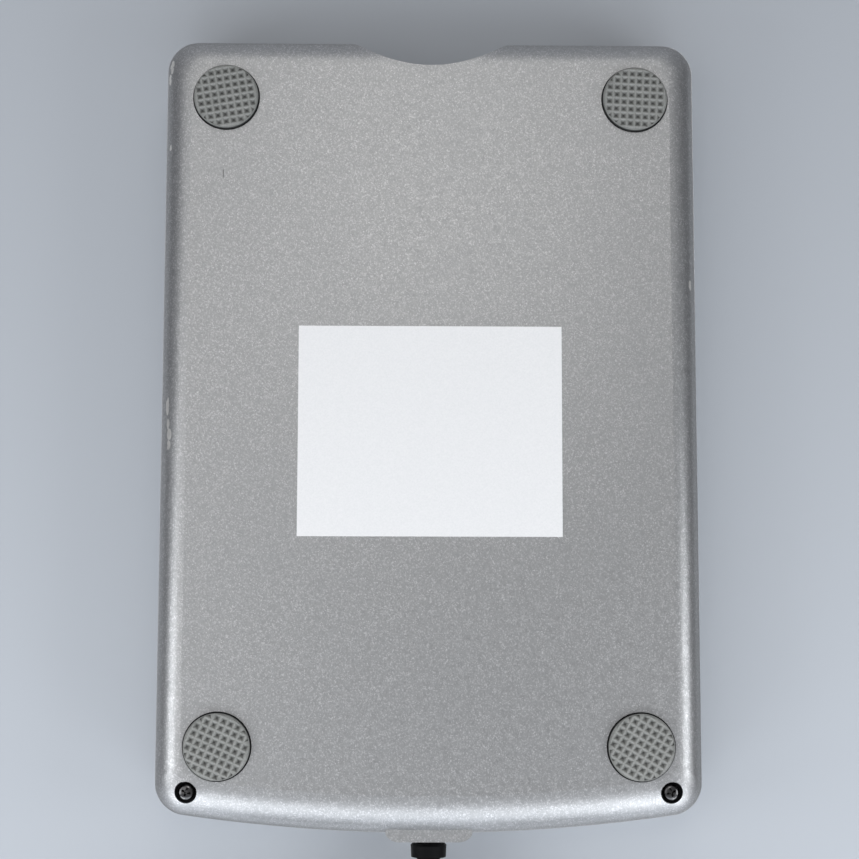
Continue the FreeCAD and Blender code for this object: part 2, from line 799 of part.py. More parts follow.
def make_top_cover():
    body = new_body("top_cover")
    cover_form(body, TOP, S.top_rounding_height, (S.top_rounding,) * 3, -1)
    edge = PARTING + S.parting_gap / 2
    grow(body, "outlet", (edge, CORD_HEIGHT + S.outlet_height / 2), outlet_outline())
    groove = inset_outline(S.cover_wall - S.lip_wall - S.lip_clearance)
    carve(body, "lip_groove", (edge, edge + S.lip_height + S.lip_clearance), groove)
    carve_front(body, UNDERSIDE, BEZEL_HIGH + S.bezel_gap)
    bosses = [Ring(side * SCREW_X, SCREW_Y, S.screw_boss_diameter / 2) for side in (-1, 1)]
    grow(body, "screw_bosses", (PARTING - S.parting_gap / 2, ROOF_INSIDE), *bosses)
    cores = [Ring(side * SCREW_X, SCREW_Y, S.screw_shank_diameter / 2) for side in (-1, 1)]
    carve(body, "screw_cores", (PARTING - S.parting_gap, SCREW_TIP + S.lip_height), *cores)
    above_lip = edge + S.lip_height + S.lip_clearance
    grow(body, "side_ribs", (above_lip, ROOF_INSIDE), *rib_outlines())
    inside = HALF_WIDTH - S.cover_wall - S.lip_clearance
    for side, name in ((-1, "left"), (1, "right")):
        foot = rectangle(snap_span(side, SNAP_INSIDE, HALF_WIDTH - S.cover_wall + S.lip_clearance), SNAP_Y)
        grow(body, name + "_snap_root", (above_lip, above_lip + S.snap_width / 2), foot)
        arm = rectangle(snap_span(side, SNAP_INSIDE, inside), SNAP_Y)
        grow(body, name + "_snap_arm", (SNAP_LOW, above_lip), arm)
        hook = rectangle(snap_span(side, SNAP_INSIDE, SNAP_OUTSIDE), SNAP_Y)
        grow(body, name + "_snap_hook", (SNAP_LOW, SNAP_LOW + S.snap_height), hook)
    reach = (DRIVE_TOP + S.bay_clearance / 2, ROOF_INSIDE)
    front = DRIVE_FRONT + S.mount_front_inset
    rear = DRIVE_REAR - S.mount_rear_inset
    front_rib = rectangle((-MOUNT_X, MOUNT_X), (front - S.rib_wall, front))
    rear_ribs = [rectangle(span, (rear - S.rib_wall, rear)) for span in both_sides(MOUNT_X / 3, MOUNT_X)]
    grow(body, "roof_ribs", reach, front_rib, *rear_ribs)
    carve_cord_hole(body)
    return node("top_cover", body)


def make_front_bezel():
    """A hollow moulding, open to the rear, whose front follows the notch."""
    body = new_body("front_bezel")
    grow(body, "block", (BEZEL_LOW, BEZEL_HIGH), bezel_outline(BEZEL_HALF, 0, BEZEL_REAR))
    inner = BEZEL_HALF - S.bezel_side
    hollow = bezel_outline(inner, S.bezel_wall, BEZEL_REAR + S.bezel_wall)
    carve(body, "hollow", (BEZEL_LOW + S.bezel_rim, BEZEL_HIGH - S.bezel_rim), hollow)
    shelf = bezel_outline(BEZEL_HALF - S.bezel_side / 2, S.bezel_wall / 2, BEZEL_REAR)
    grow(body, "disk_shelf", (SLOT_LOW - S.bezel_rim, SLOT_LOW), shelf)
    mouth = (FRONT, BEZEL_REAR)
    slot = rectangle((-SLOT_HALF, SLOT_HALF), (SLOT_LOW, SLOT_HIGH))
    carve(body, "disk_slot", mouth, slot, plane="XZ_Plane")
    opening_x = (BUTTON_SPAN[0] - S.button_gap, BUTTON_SPAN[1] + S.button_gap)
    opening_z = (BUTTON_RISE[0] - S.button_gap, BUTTON_RISE[1] + S.button_gap)
    opening = soft_rectangle(opening_x, opening_z, S.button_gap * 3)
    carve(body, "button_opening", mouth, opening, plane="XZ_Plane")
    carve(body, "lens_opening", mouth, rectangle(LENS_SPAN, LENS_RISE), plane="XZ_Plane")
    hinge = Ring(FLAP_Y, FLAP_HINGE_Z, S.trunnion_diameter / 2 + S.running_clearance)
    carve(body, "flap_holes", (-BEZEL_HALF - PAST, BEZEL_HALF + PAST), hinge, plane="YZ_Plane")
    return node("front_bezel", body)


def make_feet():
    for name, x, y in foot_places():
        body = new_body(name)
        radius = S.foot_diameter / 2
        seat_top = S.foot_height + S.foot_seat_depth
        grow(body, "disc", (S.foot_rim_height, seat_top), Ring(as_size(0), as_size(0), radius))
        tread = Ring(as_size(0), as_size(0), radius - S.foot_rim)
        grow(body, "tread", (0, S.foot_rim_height), tread)
        node(name, put(body, x, y))


def make_label():
    half = S.label_width / 2
    middle = FRONT + S.label_inset
    length = (middle - S.label_length / 2, middle + S.label_length / 2)
    rise = (UNDERSIDE - S.label_thickness, UNDERSIDE)
    node("blank_label", block("blank_label", (-half, half), length, rise))


def screw(name, x, y, z, direction, length, head_height):
    """A pan-head screw whose head's seat is at z. It points up or down."""
    head_start = z - head_height if direction > 0 else z
    shank_start = z if direction > 0 else z - length
    head = rod(name + "_head", S.screw_head_diameter / 2, head_height, x, y, head_start)
    shank = rod(name + "_shank", S.screw_shank_diameter / 2, length, x, y, shank_start)
    return fuse(name, head, shank)


def make_screws():
    case = [
        screw(f"case_screw{i}", side * SCREW_X, SCREW_Y, SCREW_SEAT, 1, S.screw_length, S.screw_head_height)
        for i, side in enumerate((-1, 1))
    ]
    node("case_screws", group("case_screws", *case))
    places = [(x, y, DECK) for x, y in mount_places()]
    places += [(x, y, USB_DECK) for x, y in board_post_places()]
    inner = [
        screw(f"inner_screw{i}", x, y, z, -1, S.inner_screw_length, S.inner_screw_head)
        for i, (x, y, z) in enumerate(places)
    ]
    node("inner_screws", group("inner_screws", *inner))


# Drive frame and the disk holder's lift ---------------------------------------------------------

HOLDER_LOW = DISK_HIGH
HOLDER_HIGH = HOLDER_LOW + HOLDER_HEIGHT
HOLDER_INSIDE = DISK_HALF + S.bay_clearance
HOLDER_OUTSIDE = HOLDER_INSIDE + S.holder_sheet
HOLDER_FRONT = FLAP_Y + S.slot_height + S.flap_gap * 2
SLIDER_INSIDE = HOLDER_OUTSIDE + S.bay_clearance
SLIDER_OUTSIDE = SLIDER_INSIDE + S.slider_sheet
PIN_RADIUS = S.pin_diameter / 2
PIN_Z = HOLDER_LOW + HOLDER_HEIGHT / 2
PIN_PLACES = (DRIVE_FRONT + S.front_pin_inset, DRIVE_FRONT + S.rear_pin_inset)
WALL_TOP = DRIVE_TOP - S.lid_sheet
SPRING_Z = BRIDGE_HIGH - S.slider_sheet / 3
SPRING_X = DRIVE_SIDE - S.spring_side_inset
SPRING_FRONT = DRIVE_FRONT + S.spring_front_inset
SPRING_REAR = DRIVE_FRONT + S.spring_rear_inset
HEAD_WINDOW_FRONT = SPINDLE_Y + S.rotor_diameter / 2 - S.window_lead
RIVET_Y = DRIVE_FRONT + S.rivet_inset
LEVER_X = -DRIVE_SIDE + S.lever_side_inset
LEVER_Y = DRIVE_REAR - S.lever_rear_inset
CABLE_SPAN = (-S.cable_place - S.cable_width / 2, -S.cable_place + S.cable_width / 2)
BUTTON_FRONT = FRONT + S.bezel_setback - S.bay_clearance
BUTTON_SOCKET = BUTTON_FRONT + S.button_length - S.button_socket


def slot_outline(start, end, radius):
    """A slot with round ends between two points."""
    run = end[0] - start[0]
    rise = end[1] - start[1]
    length = root(run * run + rise * rise)
    along = (run / length * radius, rise / length * radius)
    aside = (-along[1], along[0])
    return [
        (start[0] - along[0], start[1] - along[1], radius),
        (start[0] - aside[0], start[1] - aside[1], radius),
        (end[0] - aside[0], end[1] - aside[1]),
        (end[0] + along[0], end[1] + along[1], radius),
        (end[0] + aside[0], end[1] + aside[1], radius),
        (start[0] + aside[0], start[1] + aside[1]),
    ]


def make_drive_frame():
    """A stamped tray with slots for the disk holder's pins."""
    body = new_body("drive_frame")
    length = (DRIVE_FRONT, DRIVE_REAR)
    grow(body, "tray", (BASE, DECK), rectangle((-DRIVE_SIDE, DRIVE_SIDE), length))
    walls = [rectangle(span, length) for span in both_sides(DRIVE_SIDE - S.drive_sheet, DRIVE_SIDE)]
    grow(body, "side_walls", (BASE, WALL_TOP), *walls)
    back = rectangle((-DRIVE_SIDE, DRIVE_SIDE), (DRIVE_REAR - S.drive_sheet, DRIVE_REAR))
    grow(body, "rear_wall", (BASE, PARTING), back)
    radius = PIN_RADIUS + S.slot_clearance
    lowest = PIN_Z - S.disk_drop - radius
    slots = [rectangle((y - radius, y + radius), (lowest, WALL_TOP + PAST)) for y in PIN_PLACES]
    carve(body, "pin_slots", (-DRIVE_SIDE - PAST, DRIVE_SIDE + PAST), *slots, plane="YZ_Plane")
    hook_y = (SPRING_FRONT, SPRING_FRONT + S.drive_sheet)
    hook_x = both_sides(SPRING_X - S.drive_sheet, SPRING_X + S.drive_sheet)
    hooks = [rectangle(span, hook_y) for span in hook_x]
    grow(body, "spring_hooks", (DECK, SPRING_Z + S.drive_sheet), *hooks)
    holes = [Ring(x, y, SHANK_HOLE) for x, y in mount_places()]
    carve(body, "mount_holes", (BASE, DECK), *holes)
    bearing = Ring(as_size(0), SPINDLE_Y, S.bearing_diameter / 2)
    rivets = [Ring(side * S.rivet_spacing / 2, RIVET_Y, S.rivet_diameter / 2) for side in (-1, 1)]
    post = Ring(LEVER_X, LEVER_Y, S.lever_post_diameter / 2)
    carve(body, "press_holes", (BASE, DECK), bearing, post, *rivets)
    half = S.carriage_width / 3
    opening = (HEAD_WINDOW_FRONT + S.window_inset, DRIVE_REAR - S.window_inset)
    carve(body, "carriage_window", (BASE, DECK), soft_rectangle((-half, half), opening, S.window_corner))
    passage = rectangle(CABLE_SPAN, (DECK + S.board_thickness, PARTING + PAST))
    carve(body, "cable_passage", (DRIVE_REAR - S.drive_sheet, DRIVE_REAR), passage, plane="XZ_Plane")
    return node("drive_frame", body)


CLIP_SHARES = (0.36, 0.64)


def make_drive_lid():
    """A thin plate over the mechanism, clipped over the frame's side walls."""
    body = new_body("drive_lid")
    front = HOLDER_FRONT + S.slide_travel / 2
    grow(body, "plate", (WALL_TOP, DRIVE_TOP), rectangle((-DRIVE_SIDE, DRIVE_SIDE), (front, DRIVE_REAR)))
    clips = []
    for span in both_sides(DRIVE_SIDE, DRIVE_SIDE + S.lid_sheet / 2):
        for share in CLIP_SHARES:
            middle = DRIVE_FRONT + DRIVE_LENGTH * share
            clips.append(rectangle(span, (middle - S.snap_width / 2, middle + S.snap_width / 2)))
    grow(body, "side_clips", (WALL_TOP - S.snap_width / 2, DRIVE_TOP), *clips)
    half = S.arm_width
    window = rectangle((-half, half), (HEAD_WINDOW_FRONT, DRIVE_REAR - S.drive_sheet))
    carve(body, "arm_window", (WALL_TOP, DRIVE_TOP), window)
    return node("drive_lid", body)


def make_disk_holder():
    """A folded cage that takes the disk's sides, with a pin near each corner."""
    body = new_body("disk_holder")
    low, high = HOLDER_LOW - S.holder_sheet, HOLDER_HIGH + S.holder_sheet
    ledge = HOLDER_INSIDE - S.ledge_width
    left = [
        (-HOLDER_OUTSIDE, high), (-HOLDER_OUTSIDE, low), (-ledge, low), (-ledge, HOLDER_LOW),
        (-HOLDER_INSIDE, HOLDER_LOW), (-HOLDER_INSIDE, HOLDER_HIGH),
    ]
    right = [(-x, z) for x, z in reversed(left)]
    grow(body, "cage", (HOLDER_FRONT, DISK_REAR - S.holder_setback), left + right, plane="XZ_Plane")
    half = S.arm_width + S.ledge_width / 4
    window = rectangle((-half, half), (HEAD_WINDOW_FRONT, DISK_REAR))
    opening = soft_rectangle((-half, half), (SPINDLE_Y - half * 2, SPINDLE_Y + half / 2), S.ledge_width / 4)
    carve(body, "roof_windows", (HOLDER_HIGH, high), window, opening)
    front = (HOLDER_FRONT, HOLDER_FRONT + S.ledge_width)
    cuts = [rectangle(span, front) for span in both_sides(ledge, HOLDER_INSIDE)]
    carve(body, "switch_windows", (low, HOLDER_LOW), *cuts)
    reach = SLIDER_OUTSIDE + S.drive_sheet
    pins = [Ring(y, PIN_Z, PIN_RADIUS) for y in PIN_PLACES]
    grow(body, "right_pins", (HOLDER_OUTSIDE, reach), *pins, plane="YZ_Plane")
    grow(body, "left_pins", (-reach, -HOLDER_OUTSIDE), *pins, plane="YZ_Plane")
    return node("disk_holder", body)


def make_eject_slider():
    """A folded plate whose ramps lift the disk holder as it is pushed in."""
    body = new_body("eject_slider")
    rear = DRIVE_FRONT + S.bridge_rear_inset
    front = DRIVE_FRONT + S.bridge_inset
    neck = S.neck_width / 2
    button_half = S.button_width / 2 - S.button_gap * 8
    near = DRIVE_FRONT + S.neck_inset
    right = [(neck, near), (neck, front), (SLIDER_OUTSIDE, front), (SLIDER_OUTSIDE, rear)]
    left = [(-x, y) for x, y in reversed(right)]
    grow(body, "bridge", (BRIDGE_LOW, BRIDGE_HIGH), right + left)
    tab = rectangle((S.button_place - button_half, S.button_place + button_half), (BUTTON_SOCKET, rear))
    grow(body, "button_tab", (BRIDGE_LOW, BRIDGE_HIGH), tab)
    length = (PIN_PLACES[0] - S.ledge_width, PIN_PLACES[1] + S.slide_travel * 2)
    flanges = [rectangle(span, length) for span in both_sides(SLIDER_INSIDE, SLIDER_OUTSIDE)]
    grow(body, "flanges", (BRIDGE_LOW, WALL_TOP - S.bay_clearance), *flanges)
    radius = PIN_RADIUS + S.slot_clearance
    lowest = PIN_Z - S.disk_drop
    ramps = [slot_outline((y, PIN_Z), (y + S.slide_travel, lowest), radius) for y in PIN_PLACES]
    carve(body, "ramps", (-SLIDER_OUTSIDE - PAST, SLIDER_OUTSIDE + PAST), *ramps, plane="YZ_Plane")
    guide = S.rivet_diameter / 2 + S.slot_clearance
    guides = [
        slot_outline((x, RIVET_Y), (x, RIVET_Y + S.slide_travel), guide)
        for x in (-S.rivet_spacing / 2, S.rivet_spacing / 2)
    ]
    carve(body, "guide_slots", (BRIDGE_LOW, BRIDGE_HIGH), *guides)
    hook_y = (SPRING_REAR - S.slider_sheet, SPRING_REAR)
    hooks = [rectangle(span, hook_y) for span in both_sides(SPRING_X - S.drive_sheet, SLIDER_INSIDE)]
    grow(body, "spring_hooks", (BRIDGE_LOW, SPRING_Z + S.drive_sheet), *hooks)
    return node("eject_slider", body)


def make_eject_button():
    body = new_body("eject_button")
    rear = BUTTON_FRONT + S.button_length
    cap = soft_rectangle(BUTTON_SPAN, BUTTON_RISE, S.button_gap * 2)
    grow(body, "cap", (BUTTON_FRONT, rear), cap, plane="XZ_Plane")
    half = S.button_width / 2 - S.button_gap * 8
    socket = rectangle((S.button_place - half, S.button_place + half), (BRIDGE_LOW, BRIDGE_HIGH))
    carve(body, "socket", (BUTTON_SOCKET, rear), socket, plane="XZ_Plane")
    return node("eject_button", body)


def make_slide_rivets():
    rivets = []
    for index, side in enumerate((-1, 1)):
        x = side * S.rivet_spacing / 2
        neck_top = BRIDGE_HIGH + S.slot_clearance
        neck = rod(f"rivet_neck{index}", S.rivet_diameter / 2, neck_top - BASE, x, RIVET_Y, BASE)
        head = rod(f"rivet_head{index}", S.rivet_head_diameter / 2, S.slider_sheet, x, RIVET_Y, neck_top)
        rivets.append(fuse(f"rivet{index}", neck, head))
    node("slide_rivets", group("slide_rivets", *rivets))


def spring(name, radius, wire, length, turns, x, y, z, along):
    """A coil of round wire."""
    turn = TURNS[along]
    helix = doc.addObject("Part::Helix", name + "_line")
    helix.Placement = Placement(Vector(), turn)
    bind(helix, Radius=radius, Pitch=length / turns, Height=length)
    put(helix, x, y, z)
    doc.recompute()
    section = doc.addObject("Part::Circle", name + "_section")
    section.Placement = Placement(Vector(), turn * Rotation(Vector(1, 0, 0), 90))
    bind(section, Radius=wire / 2)
    out = turn.multVec(Vector(1, 0, 0))
    put(section, x + radius * out.x, y + radius * out.y, z + radius * out.z)
    coil = doc.addObject("Part::Sweep", name)
    coil.Sections = [section]
    coil.Spine = (helix, [f"Edge{i + 1}" for i in range(len(helix.Shape.Edges))])
    coil.Solid = True
    coil.Frenet = True
    return coil


EJECT_TURNS = 9
TORSION_TURNS = 4


def make_eject_springs():
    start = SPRING_FRONT + S.drive_sheet + S.spring_wire
    length = SPRING_REAR - S.slider_sheet - S.spring_wire - start
    shape = (S.spring_radius, S.spring_wire, length, EJECT_TURNS)
    left = spring("left_eject_spring", *shape, -SPRING_X, start, SPRING_Z, "Y")
    right = spring("right_eject_spring", *shape, SPRING_X, start, SPRING_Z, "Y")
    node("eject_springs", group("eject_springs", left, right))


# Front: dust flap, lamp and switches ------------------------------------------------------------


def make_dust_flap():
    """The door behind the disk slot, which hangs from two stub axles."""
    body = new_body("dust_flap")
    half = SLOT_HALF - S.flap_gap * 2
    thick = S.flap_thickness / 2
    bottom = SLOT_LOW + S.flap_gap * 2
    leaf = [
        (FLAP_Y + thick, bottom), (FLAP_Y + thick, FLAP_HINGE_Z),
        (FLAP_Y, FLAP_HINGE_Z + thick, thick),
        (FLAP_Y - thick, FLAP_HINGE_Z, thick), (FLAP_Y - thick, bottom),
    ]
    grow(body, "leaf", (-half, half), leaf, plane="YZ_Plane")
    axle = Ring(FLAP_Y, FLAP_HINGE_Z, S.trunnion_diameter / 2)
    reach = BEZEL_HALF - S.flap_gap
    grow(body, "axle", (-reach, reach), axle, plane="YZ_Plane")
    return node("dust_flap", body)


LAMP_FRONT = DRIVE_FRONT + S.lens_height
SWITCH_DECK = DECK + S.board_thickness
SWITCH_Y = DRIVE_FRONT + S.switch_setback
SWITCH_TOP = SWITCH_DECK + S.switch_height
SWITCH_X = DISK_HALF - S.switch_side_inset
SWITCHES = {
    "density_plunger": -SWITCH_X,
    "disk_in_plunger": -SWITCH_X + S.switch_pitch,
    "write_protect_plunger": SWITCH_X,
}


def make_light():
    pipe = block("light_pipe", LENS_SPAN, (FRONT + S.bezel_setback, LAMP_FRONT), LENS_RISE)
    node("light_pipe", pipe)
    depth = (LAMP_FRONT, LAMP_FRONT + S.lens_width / 2)
    node("indicator_lamp", block("indicator_lamp", LENS_SPAN, depth, (SWITCH_DECK, LENS_RISE[1])))


def make_switches():
    side = DRIVE_SIDE - S.drive_sheet - S.bay_clearance
    front = DRIVE_FRONT + S.bay_clearance
    span = (front, front + S.switch_board_length + S.switch_width / 2)
    node("switch_board", block("switch_board", (-side, side), span, (DECK, SWITCH_DECK)))
    cases = []
    for name, x in SWITCHES.items():
        half = S.switch_width / 2
        width = (x - half, x + half)
        depth = (SWITCH_Y - half, SWITCH_Y + half)
        shell = block(name + "_case", width, depth, (SWITCH_DECK, SWITCH_TOP))
        well = S.plunger_diameter / 2 + S.slot_clearance
        bore = rod(name + "_bore", well, S.switch_height, x, SWITCH_Y, SWITCH_DECK)
        cases.append(cut(name + "_body", shell, bore))
        low = SWITCH_DECK + S.plunger_drop + S.slot_clearance
        height = SWITCH_TOP + S.plunger_height - low
        node(name, rod(name + "_stem", S.plunger_diameter / 2, height, x, SWITCH_Y, low))
    node("switch_bodies", group("switch_bodies", *cases))


# Spindle motor ----------------------------------------------------------------------------------

MOTOR_DECK = DECK + S.board_thickness
ROTOR_LOW = MOTOR_DECK + S.stator_gap
ROTOR_HIGH = DECK + S.rotor_top
ROTOR_PLATE = ROTOR_HIGH - S.rotor_wall * 3 / 4
ROTOR_RADIUS = S.rotor_diameter / 2
MAGNET_RADIUS = ROTOR_RADIUS - S.rotor_wall
RAIL_FRONT = SPINDLE_Y + ROTOR_RADIUS + S.bay_clearance
SHAFT_RADIUS = S.shaft_diameter / 2
CORE_LOW = MOTOR_DECK + S.stator_gap
PIN_HOLE = S.drive_pin_diameter / 2 + S.slot_clearance
TEETH = 12


def tube(name, outer, inner, length, x, y, z):
    outside = rod(name + "_outside", outer, length, x, y, z)
    return cut(name, outside, rod(name + "_bore", inner, length, x, y, z))


def around_spindle(body, feature, count):
    """Repeats a feature round the body's own vertical axis."""
    pattern = body.newObject("PartDesign::PolarPattern", feature.Name + "_pattern")
    pattern.Originals = [feature]
    pattern.Axis = (feature.Profile[0], ["N_Axis"])
    pattern.Angle = 360
    pattern.Occurrences = count
    body.Tip = pattern
    doc.recompute()


def make_motor_board():
    body = new_body("motor_board")
    half = S.motor_board_width / 2
    front = DRIVE_FRONT + S.bridge_rear_inset + S.slide_travel / 2
    rear = RAIL_FRONT - S.bay_clearance
    plan = soft_rectangle((-half, half), (front, rear), S.plan_corner_radius / 2)
    grow(body, "board", (DECK, MOTOR_DECK), plan)
    bearing = Ring(as_size(0), SPINDLE_Y, S.bearing_diameter / 2 + S.slot_clearance)
    carve(body, "bearing_hole", (DECK, MOTOR_DECK), bearing)
    chips = []
    for x in (-half + S.bearing_diameter / 2, half - S.bearing_diameter / 2):
        span = (x - S.chip_width / 3, x + S.chip_width / 3)
        chips.append(rectangle(span, (front + S.chip_height, front + S.chip_height + S.chip_width / 2)))
    grow(body, "chips", (MOTOR_DECK, MOTOR_DECK + S.chip_height), *chips)
    return node("motor_board", body)


def make_stator():
    zero = as_size(0)
    body = new_body("stator_core")
    bearing_side = S.bearing_diameter / 2 + S.stator_gap
    ring = Ring(zero, zero, bearing_side + S.stator_tooth_width * 3 / 4)
    rise = (CORE_LOW, CORE_LOW + S.stator_core)
    grow(body, "yoke", rise, ring)
    half = S.stator_tooth_width / 2
    reach = S.stator_diameter / 2
    tooth = grow(body, "tooth", rise, rectangle((bearing_side, reach - half), (-half / 2, half / 2)))
    around_spindle(body, tooth, TEETH)
    tip = grow(body, "tooth_tip", rise, rectangle((reach - half, reach), (-half * 2, half * 2)))
    around_spindle(body, tip, TEETH)
    carve(body, "bearing_bore", rise, Ring(zero, zero, bearing_side))
    node("stator_core", put(body, 0, SPINDLE_Y))
    coils = new_body("stator_coils")
    thick = S.coil_thickness
    low = CORE_LOW - thick
    inner = bearing_side + S.stator_tooth_width * 3 / 2
    outer = reach - half * 2
    span = (low, CORE_LOW + S.stator_core + thick)
    wide = half / 2 + thick * 2
    first = grow(coils, "coil", span, rectangle((inner, outer), (-wide, wide)))
    around_spindle(coils, first, TEETH)
    opening = rectangle((inner - PAST, outer + PAST), (-half / 2, half / 2))
    slot = carve(coils, "tooth_gap", rise, opening)
    around_spindle(coils, slot, TEETH)
    node("stator_coils", put(coils, 0, SPINDLE_Y))


def make_spindle():
    zero = as_size(0)
    bearing_top = ROTOR_PLATE - S.stator_gap
    bore = SHAFT_RADIUS + S.running_clearance
    bearing = tube("spindle_bearing", S.bearing_diameter / 2, bore, bearing_top - BASE, 0, SPINDLE_Y, BASE)
    node("spindle_bearing", bearing)
    rotor = new_body("rotor")
    grow(rotor, "cup", (ROTOR_LOW, ROTOR_HIGH), Ring(zero, zero, ROTOR_RADIUS))
    carve(rotor, "inside", (ROTOR_LOW, ROTOR_PLATE), Ring(zero, zero, MAGNET_RADIUS))
    pin = Ring(S.drive_pin_radius, zero, PIN_HOLE)
    carve(rotor, "holes", (ROTOR_PLATE, ROTOR_HIGH), Ring(zero, zero, SHAFT_RADIUS), pin)
    node("rotor", put(rotor, 0, SPINDLE_Y))
    inside = MAGNET_RADIUS - S.magnet_wall
    height = ROTOR_PLATE - ROTOR_LOW
    node("rotor_magnet", tube("rotor_magnet", MAGNET_RADIUS, inside, height, 0, SPINDLE_Y, ROTOR_LOW))
    chuck = new_body("chuck")
    top = ROTOR_HIGH + S.chuck_thickness
    grow(chuck, "plate", (ROTOR_HIGH, top), Ring(zero, zero, S.chuck_diameter / 2))
    carve(chuck, "holes", (ROTOR_HIGH, top), Ring(zero, zero, SHAFT_RADIUS), pin)
    node("chuck", put(chuck, 0, SPINDLE_Y))
    shaft_low = BASE + S.stator_gap
    straight = DISK_LOW + S.shaft_diameter / 3
    shaft = rod("shaft_body", SHAFT_RADIUS, straight - shaft_low, 0, SPINDLE_Y, shaft_low)
    nose = cone("shaft_nose", SHAFT_RADIUS, SHAFT_RADIUS / 2, S.shaft_diameter / 6, 0, SPINDLE_Y, straight)
    node("spindle_shaft", fuse("spindle_shaft", shaft, nose))
    radius = S.drive_pin_diameter / 2
    pin_top = DISK_LOW + S.shaft_diameter / 3
    stem = rod("pin_stem", radius, pin_top - ROTOR_PLATE, S.drive_pin_radius, SPINDLE_Y, ROTOR_PLATE)
    nose = cone("pin_nose", radius, radius / 2, radius / 2, S.drive_pin_radius, SPINDLE_Y, pin_top)
    node("drive_pin", fuse("drive_pin", stem, nose))


# Heads and their carriage -----------------------------------------------------------------------

HEAD_Y = SPINDLE_Y + S.track_outer_radius
ROD_X = S.rod_spacing / 2
ROD_Z = DECK + S.rod_height
ROD_RADIUS = S.rod_diameter / 2
ROD_BORE = ROD_RADIUS + S.running_clearance
MEDIA_Z = DISK_LOW + S.disk_thickness / 2
HINGE_Y = HEAD_Y + S.hinge_setback
HINGE_Z = DISK_LOW + S.disk_thickness + S.hinge_rise
CARRIAGE_LOW = DECK + S.carriage_lift
CARRIAGE_DECK = DISK_LOW - S.holder_sheet
CARRIAGE_HALF = S.carriage_width / 2
KNUCKLE_RADIUS = S.hinge_pin_diameter * 5 / 4
EAR_INSIDE = CARRIAGE_HALF * 3 / 4
STEPPER_Z = DECK + S.stepper_diameter / 2 + S.slider_sheet
SCREW_RADIUS = S.screw_diameter / 2
SCREW_BORE = SCREW_RADIUS + S.running_clearance
STEPPER_FRONT = DRIVE_REAR - S.drive_sheet - S.slot_clearance * 2 - S.stepper_length
BRACKET_FRONT = DISK_REAR + S.bay_clearance
NUT_REAR = STEPPER_FRONT - S.slider_sheet - S.bay_clearance
RIGHT_ROD_REAR = NUT_REAR + S.slot_clearance


def make_guide_rods():
    rear = DRIVE_REAR - S.drive_sheet
    left = rod("left_rod", ROD_RADIUS, rear - RAIL_FRONT, -ROD_X, RAIL_FRONT, ROD_Z, "Y")
    right = rod("right_rod", ROD_RADIUS, RIGHT_ROD_REAR - RAIL_FRONT, ROD_X, RAIL_FRONT, ROD_Z, "Y")
    node("guide_rods", group("guide_rods", left, right))
    clips = []
    width = S.rod_diameter * 3 / 4
    for index, (x, rear_end) in enumerate(((-ROD_X, rear), (ROD_X, RIGHT_ROD_REAR))):
        for end, start in enumerate((RAIL_FRONT, rear_end - width)):
            name = f"rod_clip{index}{end}"
            span = (x - width, x + width)
            saddle = block(name + "_saddle", span, (start, start + width), (DECK, ROD_Z + width))
            bore = rod(name + "_bore", ROD_RADIUS, width, x, start, ROD_Z, "Y")
            clips.append(cut(name, saddle, bore))
    node("rod_clips", group("rod_clips", *clips))


def make_head_carriage():
    """A moulding that slides on the rods and holds the lower head and the arm's hinge."""
    body = new_body("head_carriage")
    front = HEAD_Y - S.head_length / 2 - S.slot_clearance * 5
    rear = front + S.carriage_length
    block_front = NUT_REAR - S.nut_width
    block_top = HINGE_Z - KNUCKLE_RADIUS - S.bay_clearance
    side = [
        (front, CARRIAGE_LOW), (rear, CARRIAGE_LOW), (rear, block_top), (block_front, block_top),
        (block_front - S.nut_width, CARRIAGE_DECK), (front, CARRIAGE_DECK),
    ]
    grow(body, "deck", (-CARRIAGE_HALF, CARRIAGE_HALF), side, plane="YZ_Plane")
    ear_y = (HINGE_Y - KNUCKLE_RADIUS * 2, HINGE_Y + KNUCKLE_RADIUS * 2)
    ear = rectangle(ear_y, (CARRIAGE_DECK, HINGE_Z + KNUCKLE_RADIUS))
    grow(body, "left_ear", (-CARRIAGE_HALF, -EAR_INSIDE), ear, plane="YZ_Plane")
    grow(body, "right_ear", (EAR_INSIDE, CARRIAGE_HALF), ear, plane="YZ_Plane")
    sleeve_rise = (ROD_Z - S.sleeve_radius, ROD_Z + S.sleeve_radius)
    left_span = (HEAD_Y, HEAD_Y + S.sleeve_length)
    right_span = (HEAD_Y + S.rod_diameter, HEAD_Y + S.rod_diameter + S.fork_length)
    edge = ROD_X + S.sleeve_radius + S.slot_clearance * 5
    grow(body, "left_sleeve", sleeve_rise, rectangle((-edge, -CARRIAGE_HALF), left_span))
    grow(body, "right_fork", sleeve_rise, rectangle((CARRIAGE_HALF, edge), right_span))
    bores = [Ring(x, ROD_Z, ROD_BORE) for x in (-ROD_X, ROD_X)]
    carve(body, "rod_bores", (HEAD_Y - PAST, rear), *bores, plane="XZ_Plane")
    hinge = Ring(HINGE_Y, HINGE_Z, S.hinge_pin_diameter / 2)
    carve(body, "hinge_bores", (-CARRIAGE_HALF - PAST, CARRIAGE_HALF + PAST), hinge, plane="YZ_Plane")
    return node("head_carriage", body)


def head_pad(y):
    """The outline of a head's polished block, round a place along the track."""
    wide = S.head_length / 3
    deep = S.head_length * 3 / 8
    return soft_rectangle((-wide, wide), (y - deep, y + deep), S.head_corner)


def head_groove(y):
    half = S.head_length / 2
    return rectangle((-S.head_groove / 2, S.head_groove / 2), (y - half, y + half))


